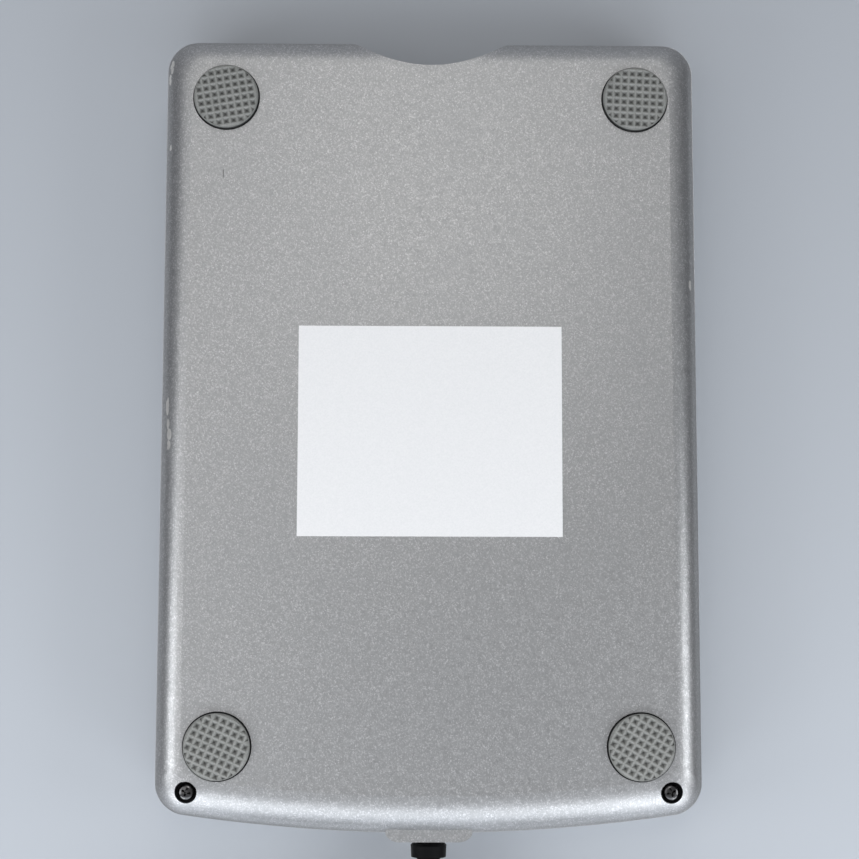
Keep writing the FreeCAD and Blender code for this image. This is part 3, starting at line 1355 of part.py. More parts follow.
def make_lower_head():
    half = S.head_length / 2
    top = MEDIA_Z - S.slot_clearance * 2
    head = new_body("lower_head")
    gimbal = rectangle((-half, half), (HEAD_Y - half, HEAD_Y + half))
    grow(head, "gimbal", (CARRIAGE_DECK, CARRIAGE_DECK + S.slot_clearance * 3), gimbal)
    grow(head, "slider", (CARRIAGE_DECK, top), head_pad(HEAD_Y))
    carve(head, "groove", (top - S.head_groove / 2, top), head_groove(HEAD_Y))
    node("lower_head", head)


def tilted(body):
    """Stands a part of the upper arm on its hinge, raised to let a disk in."""
    body.Placement = Placement(Vector(), Rotation(Vector(-1, 0, 0), S.arm_lift.value))
    bind(body, Placement__Rotation__Angle=S.arm_lift)
    return put(body, 0, HINGE_Y, HINGE_Z)


def make_upper_arm():
    """The arm is drawn from the hinge's axis, lying level as when a disk is in."""
    zero = as_size(0)
    thick = S.arm_sheet / 2
    wide = S.arm_width / 2
    seat = S.spring_seat
    arm = new_body("upper_arm")
    tip = -S.arm_reach - S.head_length / 2
    right = [(wide * 3 / 4, tip), (wide, -KNUCKLE_RADIUS), (wide, 0), (seat, 0), (seat, -seat * 2)]
    left = [(-x, y) for x, y in reversed(right)]
    grow(arm, "leaf", (-thick, thick), right + left)
    reach = EAR_INSIDE - S.slot_clearance * 2
    knuckle = Ring(zero, zero, KNUCKLE_RADIUS)
    grow(arm, "right_knuckle", (S.spring_seat, reach), knuckle, plane="YZ_Plane")
    grow(arm, "left_knuckle", (-reach, -S.spring_seat), knuckle, plane="YZ_Plane")
    bore = Ring(zero, zero, S.hinge_pin_diameter / 2 + S.running_clearance)
    carve(arm, "hinge_bore", (-reach, reach), bore, plane="YZ_Plane")
    node("upper_arm", tilted(arm))


def make_upper_head():
    head = new_body("upper_head")
    low = MEDIA_Z - HINGE_Z + S.slot_clearance / 2
    grow(head, "slider", (low, -S.arm_sheet / 2), head_pad(-S.arm_reach))
    carve(head, "groove", (low, low + S.head_groove / 2), head_groove(-S.arm_reach))
    node("upper_head", tilted(head))


def make_arm_hinge():
    """The pin that the upper arm swings on, with the spring that presses the arm down."""
    place = (HINGE_Y, HINGE_Z, "X")
    radius = S.hinge_pin_diameter / 2
    node("arm_hinge_pin", rod("arm_hinge_pin", radius, S.carriage_width, -CARRIAGE_HALF, *place))
    reach = S.spring_seat - S.spring_wire
    shape = (radius + S.spring_wire, S.spring_wire, reach * 2, TORSION_TURNS)
    node("arm_spring", spring("arm_spring", *shape, -reach, *place))


def make_positioner():
    """The stepper motor with its lead screw, held by a bracket."""
    x = S.stepper_place
    radius = S.stepper_diameter / 2
    sheet_metal = S.slider_sheet
    can = rod("stepper_can", radius, S.stepper_length, x, STEPPER_FRONT, STEPPER_Z, "Y")
    well = rod("stepper_bore", SCREW_BORE, S.screw_diameter * 5 / 4, x, STEPPER_FRONT, STEPPER_Z, "Y")
    node("stepper_motor", cut("stepper_motor", can, well))
    body = new_body("stepper_bracket")
    narrow = (x - S.bracket_width / 2, x + S.bracket_width / 2)
    grow(body, "foot", (DECK, DECK + sheet_metal), rectangle(narrow, (BRACKET_FRONT, STEPPER_FRONT)))
    rear_plate = rectangle((x - radius, x + radius), (DECK, STEPPER_Z + radius))
    grow(body, "rear_plate", (STEPPER_FRONT - sheet_metal, STEPPER_FRONT), rear_plate, plane="XZ_Plane")
    front_plate = rectangle(narrow, (DECK, STEPPER_Z + S.screw_diameter))
    grow(body, "front_plate", (BRACKET_FRONT, BRACKET_FRONT + sheet_metal), front_plate, plane="XZ_Plane")
    collar = Ring(x, STEPPER_Z, S.screw_diameter)
    grow(body, "bearing_collar", (BRACKET_FRONT, BRACKET_FRONT + S.collar_length), collar, plane="XZ_Plane")
    bore = Ring(x, STEPPER_Z, SCREW_BORE)
    carve(body, "bearing_bores", (BRACKET_FRONT, STEPPER_FRONT), bore, plane="XZ_Plane")
    node("stepper_bracket", body)
    length = STEPPER_FRONT + S.screw_diameter - BRACKET_FRONT
    node("lead_screw", rod("lead_screw", SCREW_RADIUS, length, x, BRACKET_FRONT, STEPPER_Z, "Y"))
    nut = new_body("screw_follower")
    reach = x + S.screw_diameter
    rise = (STEPPER_Z - S.screw_diameter * 2 / 3, STEPPER_Z + S.screw_diameter * 2 / 3)
    arm = soft_rectangle((CARRIAGE_HALF, reach), rise, S.slot_clearance * 5)
    grow(nut, "arm", (NUT_REAR - S.nut_width, NUT_REAR), arm, plane="XZ_Plane")
    bore = Ring(x, STEPPER_Z, SCREW_BORE)
    carve(nut, "bore", (NUT_REAR - S.nut_width, NUT_REAR), bore, plane="XZ_Plane")
    node("screw_follower", nut)


# Shutter lever ----------------------------------------------------------------------------------

LEVER_LOW = DISK_HIGH + S.bay_clearance
POST_RADIUS = S.lever_post_diameter / 2


def make_shutter_lever():
    """The lever that opens the disk's shutter and pushes the disk out again."""
    zero = as_size(0)
    body = new_body("shutter_lever")
    reach = (LEVER_LOW, LEVER_LOW + S.lever_thickness)
    hub = S.lever_hub_diameter / 2
    tip = S.lever_tip_diameter / 2
    grow(body, "hub", reach, Ring(zero, zero, hub))
    root_half = hub * 3 / 4
    arm = [(zero, -root_half), (S.lever_length, -tip), (S.lever_length, tip), (zero, root_half)]
    grow(body, "arm", reach, arm)
    grow(body, "tip", reach, Ring(S.lever_length, zero, tip))
    nose = [(zero, -tip), (zero, tip * 2), (-hub * 4 / 3, tip), (-hub * 4 / 3, zero)]
    grow(body, "latch_nose", reach, nose)
    carve(body, "pivot_bore", reach, Ring(zero, zero, POST_RADIUS + S.running_clearance))
    body.Placement = Placement(Vector(), Rotation(Vector(0, 0, -1), S.lever_rest_angle.value))
    bind(body, Placement__Rotation__Angle=S.lever_rest_angle)
    node("shutter_lever", put(body, LEVER_X, LEVER_Y))


def make_lever_post():
    """The riveted post that the shutter lever turns on, with the lever's spring round it."""
    place = (LEVER_X, LEVER_Y)
    shoulder = LEVER_LOW - S.slot_clearance
    neck_top = LEVER_LOW + S.lever_thickness + S.slot_clearance
    spigot = rod("post_spigot", POST_RADIUS, S.drive_sheet, *place, BASE)
    foot = rod("post_foot", POST_RADIUS * 2, shoulder - DECK, *place, DECK)
    neck = rod("post_neck", POST_RADIUS, neck_top - shoulder, *place, shoulder)
    head = rod("post_head", POST_RADIUS * 3 / 2, S.slider_sheet, *place, neck_top)
    node("lever_post", fuse("lever_post", spigot, foot, neck, head))
    low = CONTROL_HIGH + S.chip_height
    length = shoulder - S.spring_wire * 2 - low
    shape = (POST_RADIUS * 2 + S.spring_wire, S.spring_wire, length, TORSION_TURNS)
    node("lever_spring", spring("lever_spring", *shape, *place, low, "Z"))


# Circuit boards and cables ----------------------------------------------------------------------

CONTROL_LOW = DECK + S.control_board_lift
CONTROL_HIGH = CONTROL_LOW + S.board_thickness
CONTROL_REAR = DRIVE_REAR - S.drive_sheet * 2
CONTROL_FRONT = CONTROL_REAR - S.control_board_length
CONTROL_SPAN = (-MOUNT_X + S.control_board_inset, -ROD_X - S.sleeve_radius * 2 - S.rod_diameter)
SOCKET_DEPTH = S.chip_width * 2 / 5
CABLE_Z = USB_DECK + S.chip_height / 2


def make_control_board():
    body = new_body("control_board")
    plan = soft_rectangle(CONTROL_SPAN, (CONTROL_FRONT, CONTROL_REAR), S.chip_height)
    grow(body, "board", (CONTROL_LOW, CONTROL_HIGH), plan)
    low, high = CONTROL_SPAN
    inset = S.chip_height * 2
    rings = [Ring(high - inset, y, S.chip_height) for y in (CONTROL_FRONT + inset, CONTROL_REAR - inset)]
    grow(body, "standoffs", (DECK, CONTROL_LOW), *rings)
    clearance = Ring(LEVER_X, LEVER_Y, POST_RADIUS * 2 + S.slot_clearance * 3)
    carve(body, "post_hole", (CONTROL_LOW, CONTROL_HIGH), clearance)
    width = S.chip_width
    gap = S.chip_height
    start = CONTROL_REAR - SOCKET_DEPTH - gap - width
    chips = [
        rectangle((high - width - gap, high - gap), (start, start + width)),
        rectangle((low + gap, low + gap + width * 3 / 4), (start, start + width * 3 / 4)),
    ]
    grow(body, "chips", (CONTROL_HIGH, CONTROL_HIGH + S.chip_height), *chips)
    socket = rectangle(CABLE_SPAN, (CONTROL_REAR - SOCKET_DEPTH, CONTROL_REAR))
    grow(body, "socket", (CONTROL_HIGH, CABLE_Z + S.chip_height), socket)
    node("control_board", body)


def make_usb_board():
    half = S.usb_board_width / 2
    rear = USB_BOARD_FRONT + S.usb_board_length
    body = new_body("usb_board")
    plan = soft_rectangle((-half, half), (USB_BOARD_FRONT, rear), S.chip_height)
    grow(body, "board", (USB_BOARD_LOW, USB_DECK), plan)
    holes = [Ring(x, y, SHANK_HOLE) for x, y in board_post_places()]
    carve(body, "screw_holes", (USB_BOARD_LOW, USB_DECK), *holes)
    width = S.chip_width * 3 / 4
    front = USB_BOARD_FRONT + S.chip_height
    chips = [
        rectangle((-half / 2, width - half / 2), (front, front + width)),
        rectangle((half / 3, half / 3 + width / 2), (front, front + width * 2 / 3)),
    ]
    grow(body, "chips", (USB_DECK, USB_DECK + S.chip_height), *chips)
    crystal = rectangle((half / 4 - width / 3, half / 4), (front, front + width))
    grow(body, "crystal", (USB_DECK, USB_DECK + S.chip_height * 2), crystal)
    capacitor = Ring(half * 2 / 3, front + width / 3, S.chip_height * 3 / 2)
    grow(body, "capacitor", (USB_DECK, USB_DECK + S.chip_width / 2), capacitor)
    socket = rectangle(CABLE_SPAN, (USB_BOARD_FRONT, USB_BOARD_FRONT + SOCKET_DEPTH))
    grow(body, "ribbon_socket", (USB_DECK, CABLE_Z + S.chip_height), socket)
    header_y = (HEADER_REAR - SOCKET_DEPTH * 3 / 4, HEADER_REAR)
    header = rectangle((-S.cord_diameter, S.cord_diameter), header_y)
    grow(body, "wire_header", (USB_DECK, CORD_HEIGHT + S.cord_diameter / 2), header)
    node("usb_board", body)


def make_drive_ribbon():
    ribbon_x = (CABLE_SPAN[0] + S.chip_height / 2, CABLE_SPAN[1] - S.chip_height / 2)
    ribbon_z = (CABLE_Z, CABLE_Z + S.coil_thickness)
    node("drive_ribbon", block("drive_ribbon", ribbon_x, (CONTROL_REAR, USB_BOARD_FRONT), ribbon_z))


WIRES = 4


def make_lead_tail():
    """The end of the cord's jacket inside the case, with its four wires."""
    length = RELIEF_INSIDE - TAIL_FRONT
    jacket = rod("lead_jacket", S.cord_diameter / 2, length, 0, TAIL_FRONT, CORD_HEIGHT, "Y")
    bare = TAIL_FRONT - HEADER_REAR
    wires = []
    for index in range(WIRES):
        x = S.wire_pitch * (index - (WIRES - 1) / 2)
        wires.append(rod(f"wire{index}", S.wire_diameter / 2, bare, x, HEADER_REAR, CORD_HEIGHT, "Y"))
    node("lead_tail", fuse("lead_tail", jacket, *wires))


# Cord, strain relief and plug -------------------------------------------------------------------

RELIEF_GROOVES = 5


def make_strain_relief():
    """A tapered rubber sleeve with ring grooves, held in the covers by its neck."""
    body = new_body("strain_relief")
    sketch = new_sketch(body, "profile", "YZ_Plane", as_size(0))
    zero = as_size(0)
    neck = S.neck_diameter / 2 - S.running_clearance
    flange_front = RELIEF_INSIDE + S.relief_flange
    head = S.relief_diameter / 2
    draw_outline(sketch, [
        (RELIEF_INSIDE, zero), (RELIEF_END, zero), (RELIEF_END, S.relief_end_diameter / 2),
        (RELIEF_START + S.relief_chamfer, head), (RELIEF_START, head - S.relief_chamfer),
        (RELIEF_START, neck), (flange_front, neck),
        (flange_front, S.relief_flange_diameter / 2), (RELIEF_INSIDE, S.relief_flange_diameter / 2),
    ])
    sleeve = body.newObject("PartDesign::Revolution", "sleeve")
    sleeve.Profile = sketch
    sleeve.ReferenceAxis = (sketch, ["H_Axis"])
    sleeve.Angle = 360
    doc.recompute()
    pitch = S.relief_length / (RELIEF_GROOVES + 2)
    start = RELIEF_START + pitch
    depth = S.relief_end_diameter / 2 - S.coil_thickness * 2
    outline = new_sketch(body, "groove_outline", "YZ_Plane", as_size(0))
    draw_outline(outline, rectangle((start, start + pitch / 2), (depth, S.relief_diameter)))
    before = body.Shape.Volume
    groove = body.newObject("PartDesign::Groove", "ring_groove")
    groove.Profile = outline
    groove.ReferenceAxis = (outline, ["H_Axis"])
    groove.Angle = 360
    doc.recompute()
    row = body.newObject("PartDesign::LinearPattern", "ring_grooves")
    row.Originals = [groove]
    row.Direction = (outline, ["H_Axis"])
    row.Occurrences = RELIEF_GROOVES
    bind(row, Length=pitch * (RELIEF_GROOVES - 1))
    body.Tip = row
    doc.recompute()
    if body.Shape.Volume >= before:
        raise RuntimeError("the strain relief has no grooves")
    node("strain_relief", put(body, 0, 0, CORD_HEIGHT))


ARC_SHARE = 0.45
VOLUME_TOLERANCE = 0.02


def bent_path(points):
    """Straight runs joined by tangent arcs. Prints each arc's radius."""
    edges = []
    start = points[0]
    for index in range(1, len(points) - 1):
        corner = points[index]
        before = corner - points[index - 1]
        after = points[index + 1] - corner
        turn = before.getAngle(after)
        trim = ARC_SHARE * min(before.Length, after.Length)
        radius = trim / math.tan(turn / 2)
        print(f"arc radius {radius:.1f}")
        before.normalize()
        after.normalize()
        enter, leave = corner - before * trim, corner + after * trim
        bisector = (after - before).normalize()
        centre = corner + bisector * (radius / math.cos(turn / 2))
        middle = centre - bisector * radius
        edges.append(Part.LineSegment(start, enter).toShape())
        edges.append(Part.Arc(enter, middle, leave).toShape())
        start = leave
    edges.append(Part.LineSegment(start, points[-1]).toShape())
    return Part.Wire(edges)


def round_tube(label, places, radius):
    """A plain tube along a bent path, checked against its section times its length."""
    points = [Vector(number(x), number(y), number(z)) for x, y, z in places]
    path = bent_path(points)
    profile = Part.Wire([Part.Circle(points[0], points[1] - points[0], radius).toShape()])
    tube_shape = path.makePipeShell([profile], True, False)
    expected = math.pi * radius**2 * path.Length
    if abs(tube_shape.Volume - expected) > VOLUME_TOLERANCE * expected:
        raise RuntimeError(f"{label} has {tube_shape.Volume:.0f} cubic mm, not {expected:.0f}")
    print(f"{label} is {path.Length:.1f} mm long")
    thing = doc.addObject("Part::Feature", label)
    thing.Shape = tube_shape
    return node(label, thing)


FLOOR_CORD = 2.1
CORD_RUN = [
    (0, RELIEF_END, CORD_HEIGHT),
    (0, RELIEF_END + 9.3, CORD_HEIGHT),
    (0.3, RELIEF_END + 20.3, 6.5),
    (0.4, RELIEF_END + 30.5, 6.2),
]
COIL_X = CORD_RUN[-1][0] - S.coil_top_turn
COIL_Y = CORD_RUN[-1][1]
CORD_END = [
    (-23.7, RELIEF_END + 4.3, FLOOR_CORD),
    (-14.2, RELIEF_END + 4.3, FLOOR_CORD),
    (-3.6, RELIEF_END + 5.4, 2.4),
    (5.5, RELIEF_END + 8.1, 4.0),
    (14.5, RELIEF_END + 11.1, 4.0),
]


def make_cord():
    radius = S.cord_diameter / 2
    round_tube("cord_run", CORD_RUN, radius.value)
    inner = S.coil_inner_turn - radius
    outer = S.coil_outer_turn + radius
    height = CORD_RUN[-1][2] + radius
    node("cord_coil", tube("cord_coil", outer, inner, height, COIL_X, COIL_Y, 0))
    round_tube("cord_end", CORD_END, radius.value)


def along_plug(thing):
    """Turns a part of the plug, drawn along X, to lie at the end of the cord."""
    (x0, y0, _), (x1, y1, z1) = CORD_END[-2:]
    angle = math.degrees(math.atan2(number(y1 - y0), x1 - x0))
    thing.Placement = Placement(Vector(), Rotation(Vector(0, 0, 1), angle))
    return put(thing, x1, y1, z1)


def make_plug():
    """The moulded grip and the folded metal shell with its two spring windows."""
    half, thick = S.grip_width / 2, S.grip_thickness / 2
    grip = new_body("plug_grip")
    plan = [
        (0, -half * 3 / 5), (S.grip_length / 3, -half), (S.grip_length, -half),
        (S.grip_length, half), (S.grip_length / 3, half), (0, half * 3 / 5),
    ]
    grow(grip, "handle", (-thick, thick), plan)
    node("plug_grip", along_plug(grip))
    shell = new_body("plug_shell")
    wide, high = S.plug_width / 2, S.plug_thickness / 2
    reach = (S.grip_length, S.grip_length + S.plug_length)
    grow(shell, "sleeve", reach, rectangle((-wide, wide), (-high, high)), plane="YZ_Plane")
    inside_x = wide - S.plug_sheet
    inside_y = high - S.plug_sheet
    mouth = rectangle((-inside_x, inside_x), (-inside_y, inside_y))
    carve(shell, "mouth", (reach[0] + S.plug_sheet, reach[1]), mouth, plane="YZ_Plane")
    tongue = rectangle((-inside_x, inside_x), (0, inside_y))
    grow(shell, "tongue", (reach[0], reach[1] - S.plug_sheet * 2), tongue, plane="YZ_Plane")
    window_x = (reach[0] + S.plug_length / 2, reach[0] + S.plug_length * 2 / 3)
    half = S.window_width / 2
    windows = [rectangle(window_x, (y - half, y + half)) for y in (-wide / 2, wide / 2)]
    carve(shell, "windows", (-high, -inside_y), *windows)
    node("plug_shell", along_plug(shell))


make_bottom_cover()
make_top_cover()
make_front_bezel()
make_feet()
make_label()
make_screws()
make_drive_frame()
make_drive_lid()
make_disk_holder()
make_eject_slider()
make_eject_button()
make_slide_rivets()
make_eject_springs()
make_dust_flap()
make_light()
make_switches()
make_motor_board()
make_stator()
make_spindle()
make_guide_rods()
make_head_carriage()
make_lower_head()
make_upper_arm()
make_upper_head()
make_arm_hinge()
make_positioner()
make_shutter_lever()
make_lever_post()
make_control_board()
make_usb_board()
make_drive_ribbon()
make_lead_tail()
make_strain_relief()
make_cord()
make_plug()


# Checks and export ------------------------------------------------------------------------------


def check_objects():
    doc.recompute()
    for thing in doc.Objects:
        if "Invalid" in thing.State or "Error" in thing.State:
            raise RuntimeError(f"{thing.Name} didn't build: {thing.State}")
    for label, thing in NODES.items():
        if thing.Shape.isNull() or not thing.Shape.isValid():
            raise RuntimeError(f"{label} has no valid shape")


def write_parts():
    os.makedirs("parts", exist_ok=True)
    for label, thing in NODES.items():
        thing.Shape.exportStep(os.path.join("parts", label + ".step"))


check_objects()
write_parts()
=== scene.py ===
import json
import math

import bmesh
import bpy
from mathutils import Matrix, Vector


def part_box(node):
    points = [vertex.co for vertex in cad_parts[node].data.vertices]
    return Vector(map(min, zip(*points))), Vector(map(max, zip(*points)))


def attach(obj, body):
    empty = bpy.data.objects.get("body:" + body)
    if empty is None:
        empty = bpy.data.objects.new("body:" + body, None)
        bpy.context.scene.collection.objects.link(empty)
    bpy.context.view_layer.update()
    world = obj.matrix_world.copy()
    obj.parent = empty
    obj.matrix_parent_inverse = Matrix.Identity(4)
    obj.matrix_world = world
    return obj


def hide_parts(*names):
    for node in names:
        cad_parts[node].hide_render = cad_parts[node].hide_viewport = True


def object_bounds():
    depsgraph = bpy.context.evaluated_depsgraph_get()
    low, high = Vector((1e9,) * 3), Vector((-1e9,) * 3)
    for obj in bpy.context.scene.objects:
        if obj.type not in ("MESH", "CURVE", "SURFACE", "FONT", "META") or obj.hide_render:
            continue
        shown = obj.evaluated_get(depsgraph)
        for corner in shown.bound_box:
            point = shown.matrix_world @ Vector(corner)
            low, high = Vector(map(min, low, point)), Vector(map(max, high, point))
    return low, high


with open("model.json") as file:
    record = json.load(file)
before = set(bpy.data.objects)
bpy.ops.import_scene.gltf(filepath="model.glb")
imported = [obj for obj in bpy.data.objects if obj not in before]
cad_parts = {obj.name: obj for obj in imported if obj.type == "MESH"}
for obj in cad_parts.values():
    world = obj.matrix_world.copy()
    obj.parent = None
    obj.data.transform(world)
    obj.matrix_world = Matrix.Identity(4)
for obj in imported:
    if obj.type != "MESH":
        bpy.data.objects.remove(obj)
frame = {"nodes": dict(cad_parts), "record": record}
CAD_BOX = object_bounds()

MM = 0.001
CASE_BODY = "case"
TREAD_HEIGHT = 0.5 * MM


def mm(*amounts):
    return tuple(amount * MM for amount in amounts)


# Places read from the frame ---------------------------------------------------------------------


def middle(node):
    low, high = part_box(node)
    return [(a + b) / 2 for a, b in zip(low, high)]


def size(node):
    low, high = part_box(node)
    return [b - a for a, b in zip(low, high)]


FEET = ("front_left_foot", "front_right_foot", "rear_left_foot", "rear_right_foot")
FOOT_RADIUS = size("front_left_foot")[0] / 2
SCREW_RADIUS = 1.55 * MM
SCREW_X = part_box("case_screws")[1][0] - SCREW_RADIUS
SCREW_PLACES = [(side * SCREW_X, middle("case_screws")[1]) for side in (-1, 1)]

# The wells in the bottom cover start just above its face. Each has a radius and a top. Inside them the
# silver paint is darkened to near black as painted shade.
WELL_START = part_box("bottom_cover")[0][2] + 0.1 * MM
FOOT_WELL = (FOOT_RADIUS + 0.4 * MM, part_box("front_left_foot")[1][2] + 0.2 * MM)
SCREW_WELL = (2.15 * MM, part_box("case_screws")[0][2] + 1.2 * MM)
WELLS = [(*middle(foot)[:2], *FOOT_WELL) for foot in FEET]
WELLS += [(*place, *SCREW_WELL) for place in SCREW_PLACES]
# The share of a well's radius, at its rim, that keeps the silver paint and gets no painted shade.
WELL_RIM = 0.03

# Node materials ---------------------------------------------------------------------------------


class Paint:
    """A procedural material under construction."""

    def __init__(self, name):
        self.material = bpy.data.materials.new(name)
        self.material.use_nodes = True
        self.tree = self.material.node_tree
        self.shader = self.tree.nodes["Principled BSDF"]
        self.place = self.node("ShaderNodeTexCoord").outputs["Object"]

    def node(self, kind, **settings):
        made = self.tree.nodes.new(kind)
        for name, value in settings.items():
            setattr(made, name, value)
        return made

    def link(self, output, socket):
        self.tree.links.new(output, socket)

    def set(self, **sockets):
        for name, value in sockets.items():
            self.shader.inputs[name.replace("_", " ")].default_value = value
        return self

    def math(self, operation, a, b=0.0, clamp=False):
        made = self.node("ShaderNodeMath", operation=operation, use_clamp=clamp)
        for socket, value in zip(made.inputs, (a, b)):
            if hasattr(value, "links"):
                self.link(value, socket)
            else:
                socket.default_value = value
        return made.outputs[0]

    def noise(self, grain, detail=2.0, place=None):
        """Noise whose features are about the grain's size, in metres."""
        made = self.node("ShaderNodeTexNoise")
        made.inputs["Scale"].default_value = 1 / grain
        made.inputs["Detail"].default_value = detail
        self.link(place or self.place, made.inputs["Vector"])
        return made.outputs["Fac"]

    def cells(self, grain):
        """Random grey for each small cell, for metal flake."""
        made = self.node("ShaderNodeTexVoronoi")
        made.inputs["Scale"].default_value = 1 / grain
        self.link(self.place, made.inputs["Vector"])
        return made.outputs["Color"]

    def stretched(self, x, y, z):
        made = self.node("ShaderNodeVectorMath", operation="MULTIPLY")
        self.link(self.place, made.inputs[0])
        made.inputs[1].default_value = (x, y, z)
        return made.outputs[0]

    def ramp(self, factor, *stops):
        """Turns a factor into the greys or colours of (position, value) stops."""
        made = self.node("ShaderNodeValToRGB")
        elements = made.color_ramp.elements
        while len(elements) < len(stops):
            elements.new(0.5)
        for element, (position, colour) in zip(elements, stops):
            element.position = position
            element.color = (*colour, 1.0) if hasattr(colour, "__len__") else (colour, colour, colour, 1.0)
        self.link(factor, made.inputs["Fac"])
        return made.outputs["Color"]

    def mix(self, factor, a, b):
        """Blends from a to b, each a colour or a socket, by the factor's socket."""
        made = self.node("ShaderNodeMix", data_type="RGBA")
        for socket, value in zip((made.inputs[0], made.inputs[6], made.inputs[7]), (factor, a, b)):
            if hasattr(value, "links"):
                self.link(value, socket)
            else:
                socket.default_value = (*value, 1.0)
        return made.outputs[2]

    def blob(self, centre, radii):
        """One in the middle of an oval patch, falling to zero at its edge."""
        off = self.node("ShaderNodeVectorMath", operation="SUBTRACT")
        self.link(self.place, off.inputs[0])
        off.inputs[1].default_value = centre
        share = self.node("ShaderNodeVectorMath", operation="DIVIDE")
        self.link(off.outputs[0], share.inputs[0])
        share.inputs[1].default_value = radii
        length = self.node("ShaderNodeVectorMath", operation="LENGTH")
        self.link(share.outputs[0], length.inputs[0])
        return self.math("SUBTRACT", 1.0, length.outputs["Value"], clamp=True)

    def well_shade_mask(self):
        """One inside the wells of the feet and case screws, where painted shade darkens the paint, zero
        elsewhere.
        """
        height = self.node("ShaderNodeSeparateXYZ")
        self.link(self.place, height.inputs[0])
        inside = 0.0
        for x, y, radius, top in WELLS:
            within = self.math("GREATER_THAN", self.blob((x, y, 0.0), (radius, radius, 1.0)), WELL_RIM)
            below = self.math("LESS_THAN", height.outputs["Z"], top)
            inside = self.math("MAXIMUM", inside, self.math("MULTIPLY", within, below))
        deep = self.math("GREATER_THAN", height.outputs["Z"], WELL_START)
        return self.math("MULTIPLY", deep, inside)

    def bump(self, *layers):
        """Bumps from (height, strength, distance) layers, each on the one before."""
        normal = None
        for height, strength, distance in layers:
            made = self.node("ShaderNodeBump")
            made.inputs["Strength"].default_value = strength
            made.inputs["Distance"].default_value = distance
            self.link(height, made.inputs["Height"])
            if normal:
                self.link(normal, made.inputs["Normal"])
            normal = made.outputs["Normal"]
        self.link(normal, self.shader.inputs["Normal"])

    def colour(self, output):
        self.link(output, self.shader.inputs["Base Color"])

    def roughness(self, output):
        self.link(output, self.shader.inputs["Roughness"])


# Centre and radii of each spot where the lacquer has worn off, and of the one scratch.
WORN_PATCHES = (
    (mm(-50.3, -71.1, 3.4), mm(0.7, 1.8, 1.4)),
    (mm(-50.7, -68.7, 4.1), mm(0.5, 1.4, 1.2)),
    (mm(-50.3, -54.9, 3.4), mm(0.4, 0.8, 0.8)),
    (mm(-49.9, -4.6, 2.9), mm(0.5, 2.2, 1.0)),
    (mm(-49.7, -1.2, 2.8), mm(0.4, 1.6, 0.9)),
    (mm(-49.4, 0.8, 2.6), mm(0.7, 1.6, 0.9)),
    (mm(-49.5, 2.9, 2.6), mm(0.6, 1.3, 0.9)),
    (mm(50.0, -28.4, 3.0), mm(0.5, 1.3, 0.9)),
)
SCRATCH = (mm(-39.8, -49.4, 1.2), mm(0.16, 1.3, 0.4))
PRIMER = (0.86, 0.85, 0.82)
# Near-black painted shade for the insides of the wells.
WELL_SHADE = (0.008, 0.008, 0.009)
METALLIC = 0.8


def silver_paint():
    """Silver lacquer with fine flake, primer at the worn spots, and painted shade in the wells: near black
    and not metallic.
    """
    paint = Paint("silver_paint")
    paint.set(Coat_Weight=0.1, Coat_Roughness=0.3, Specular_Tint=(0.12, 0.12, 0.13, 1.0))
    flake = paint.cells(0.0002)
    coarse = paint.cells(0.0004)
    grain = paint.noise(0.0012, detail=3.0)
    cloud = paint.noise(0.03, detail=2.0)
    dull, middling, bright = (0.34, 0.345, 0.35), (0.41, 0.415, 0.42), (0.7, 0.7, 0.71)
    base = paint.ramp(flake, (0.0, dull), (0.6, middling), (1.0, bright))
    base = paint.mix(paint.math("MULTIPLY", coarse, 0.3), base, (0.52, 0.52, 0.525))
    base = paint.mix(paint.ramp(cloud, (0.35, 0.0), (0.75, 0.22)), base, (0.38, 0.39, 0.4))
    worn = 0.0
    for centre, radii in WORN_PATCHES:
        worn = paint.math("MAXIMUM", worn, paint.blob(centre, radii))
    ragged = paint.ramp(paint.noise(0.0009, detail=4.0), (0.3, 0.2), (0.6, 1.0))
    bare = paint.ramp(paint.math("MULTIPLY", worn, ragged), (0.14, 0.0), (0.22, 1.0))
    scratch = paint.ramp(paint.blob(*SCRATCH), (0.1, 0.0), (0.5, 0.75))
    base = paint.mix(scratch, base, (0.12, 0.12, 0.12))
    # Painted shade: inside the wells the paint turns near black and loses its metal sheen.
    well_shade = paint.well_shade_mask()
    paint.colour(paint.mix(well_shade, paint.mix(bare, base, PRIMER), WELL_SHADE))
    paint.link(paint.math("SUBTRACT", METALLIC, well_shade, clamp=True), paint.shader.inputs["Metallic"])
    paint.roughness(paint.ramp(grain, (0.3, 0.34), (0.7, 0.44)))
    paint.bump((flake, 0.16, 0.00008), (grain, 0.1, 0.0001))
    return paint.material


def moulded_plastic(name, colour, rough=0.45, grain=0.0004):
    """Fine spark-eroded texture with slightly uneven gloss."""
    paint = Paint(name).set(Specular_IOR_Level=0.45)
    texture = paint.noise(grain, detail=3.0)
    blotch = paint.noise(0.012, detail=2.0)
    dark = [c * 0.85 for c in colour]
    light = [min(c * 1.12 + 0.004, 1.0) for c in colour]
    paint.colour(paint.ramp(blotch, (0.3, dark), (0.7, light)))
    paint.roughness(paint.ramp(texture, (0.3, rough - 0.06), (0.7, rough + 0.08)))
    paint.bump((texture, 0.12, 0.00006))
    return paint.material


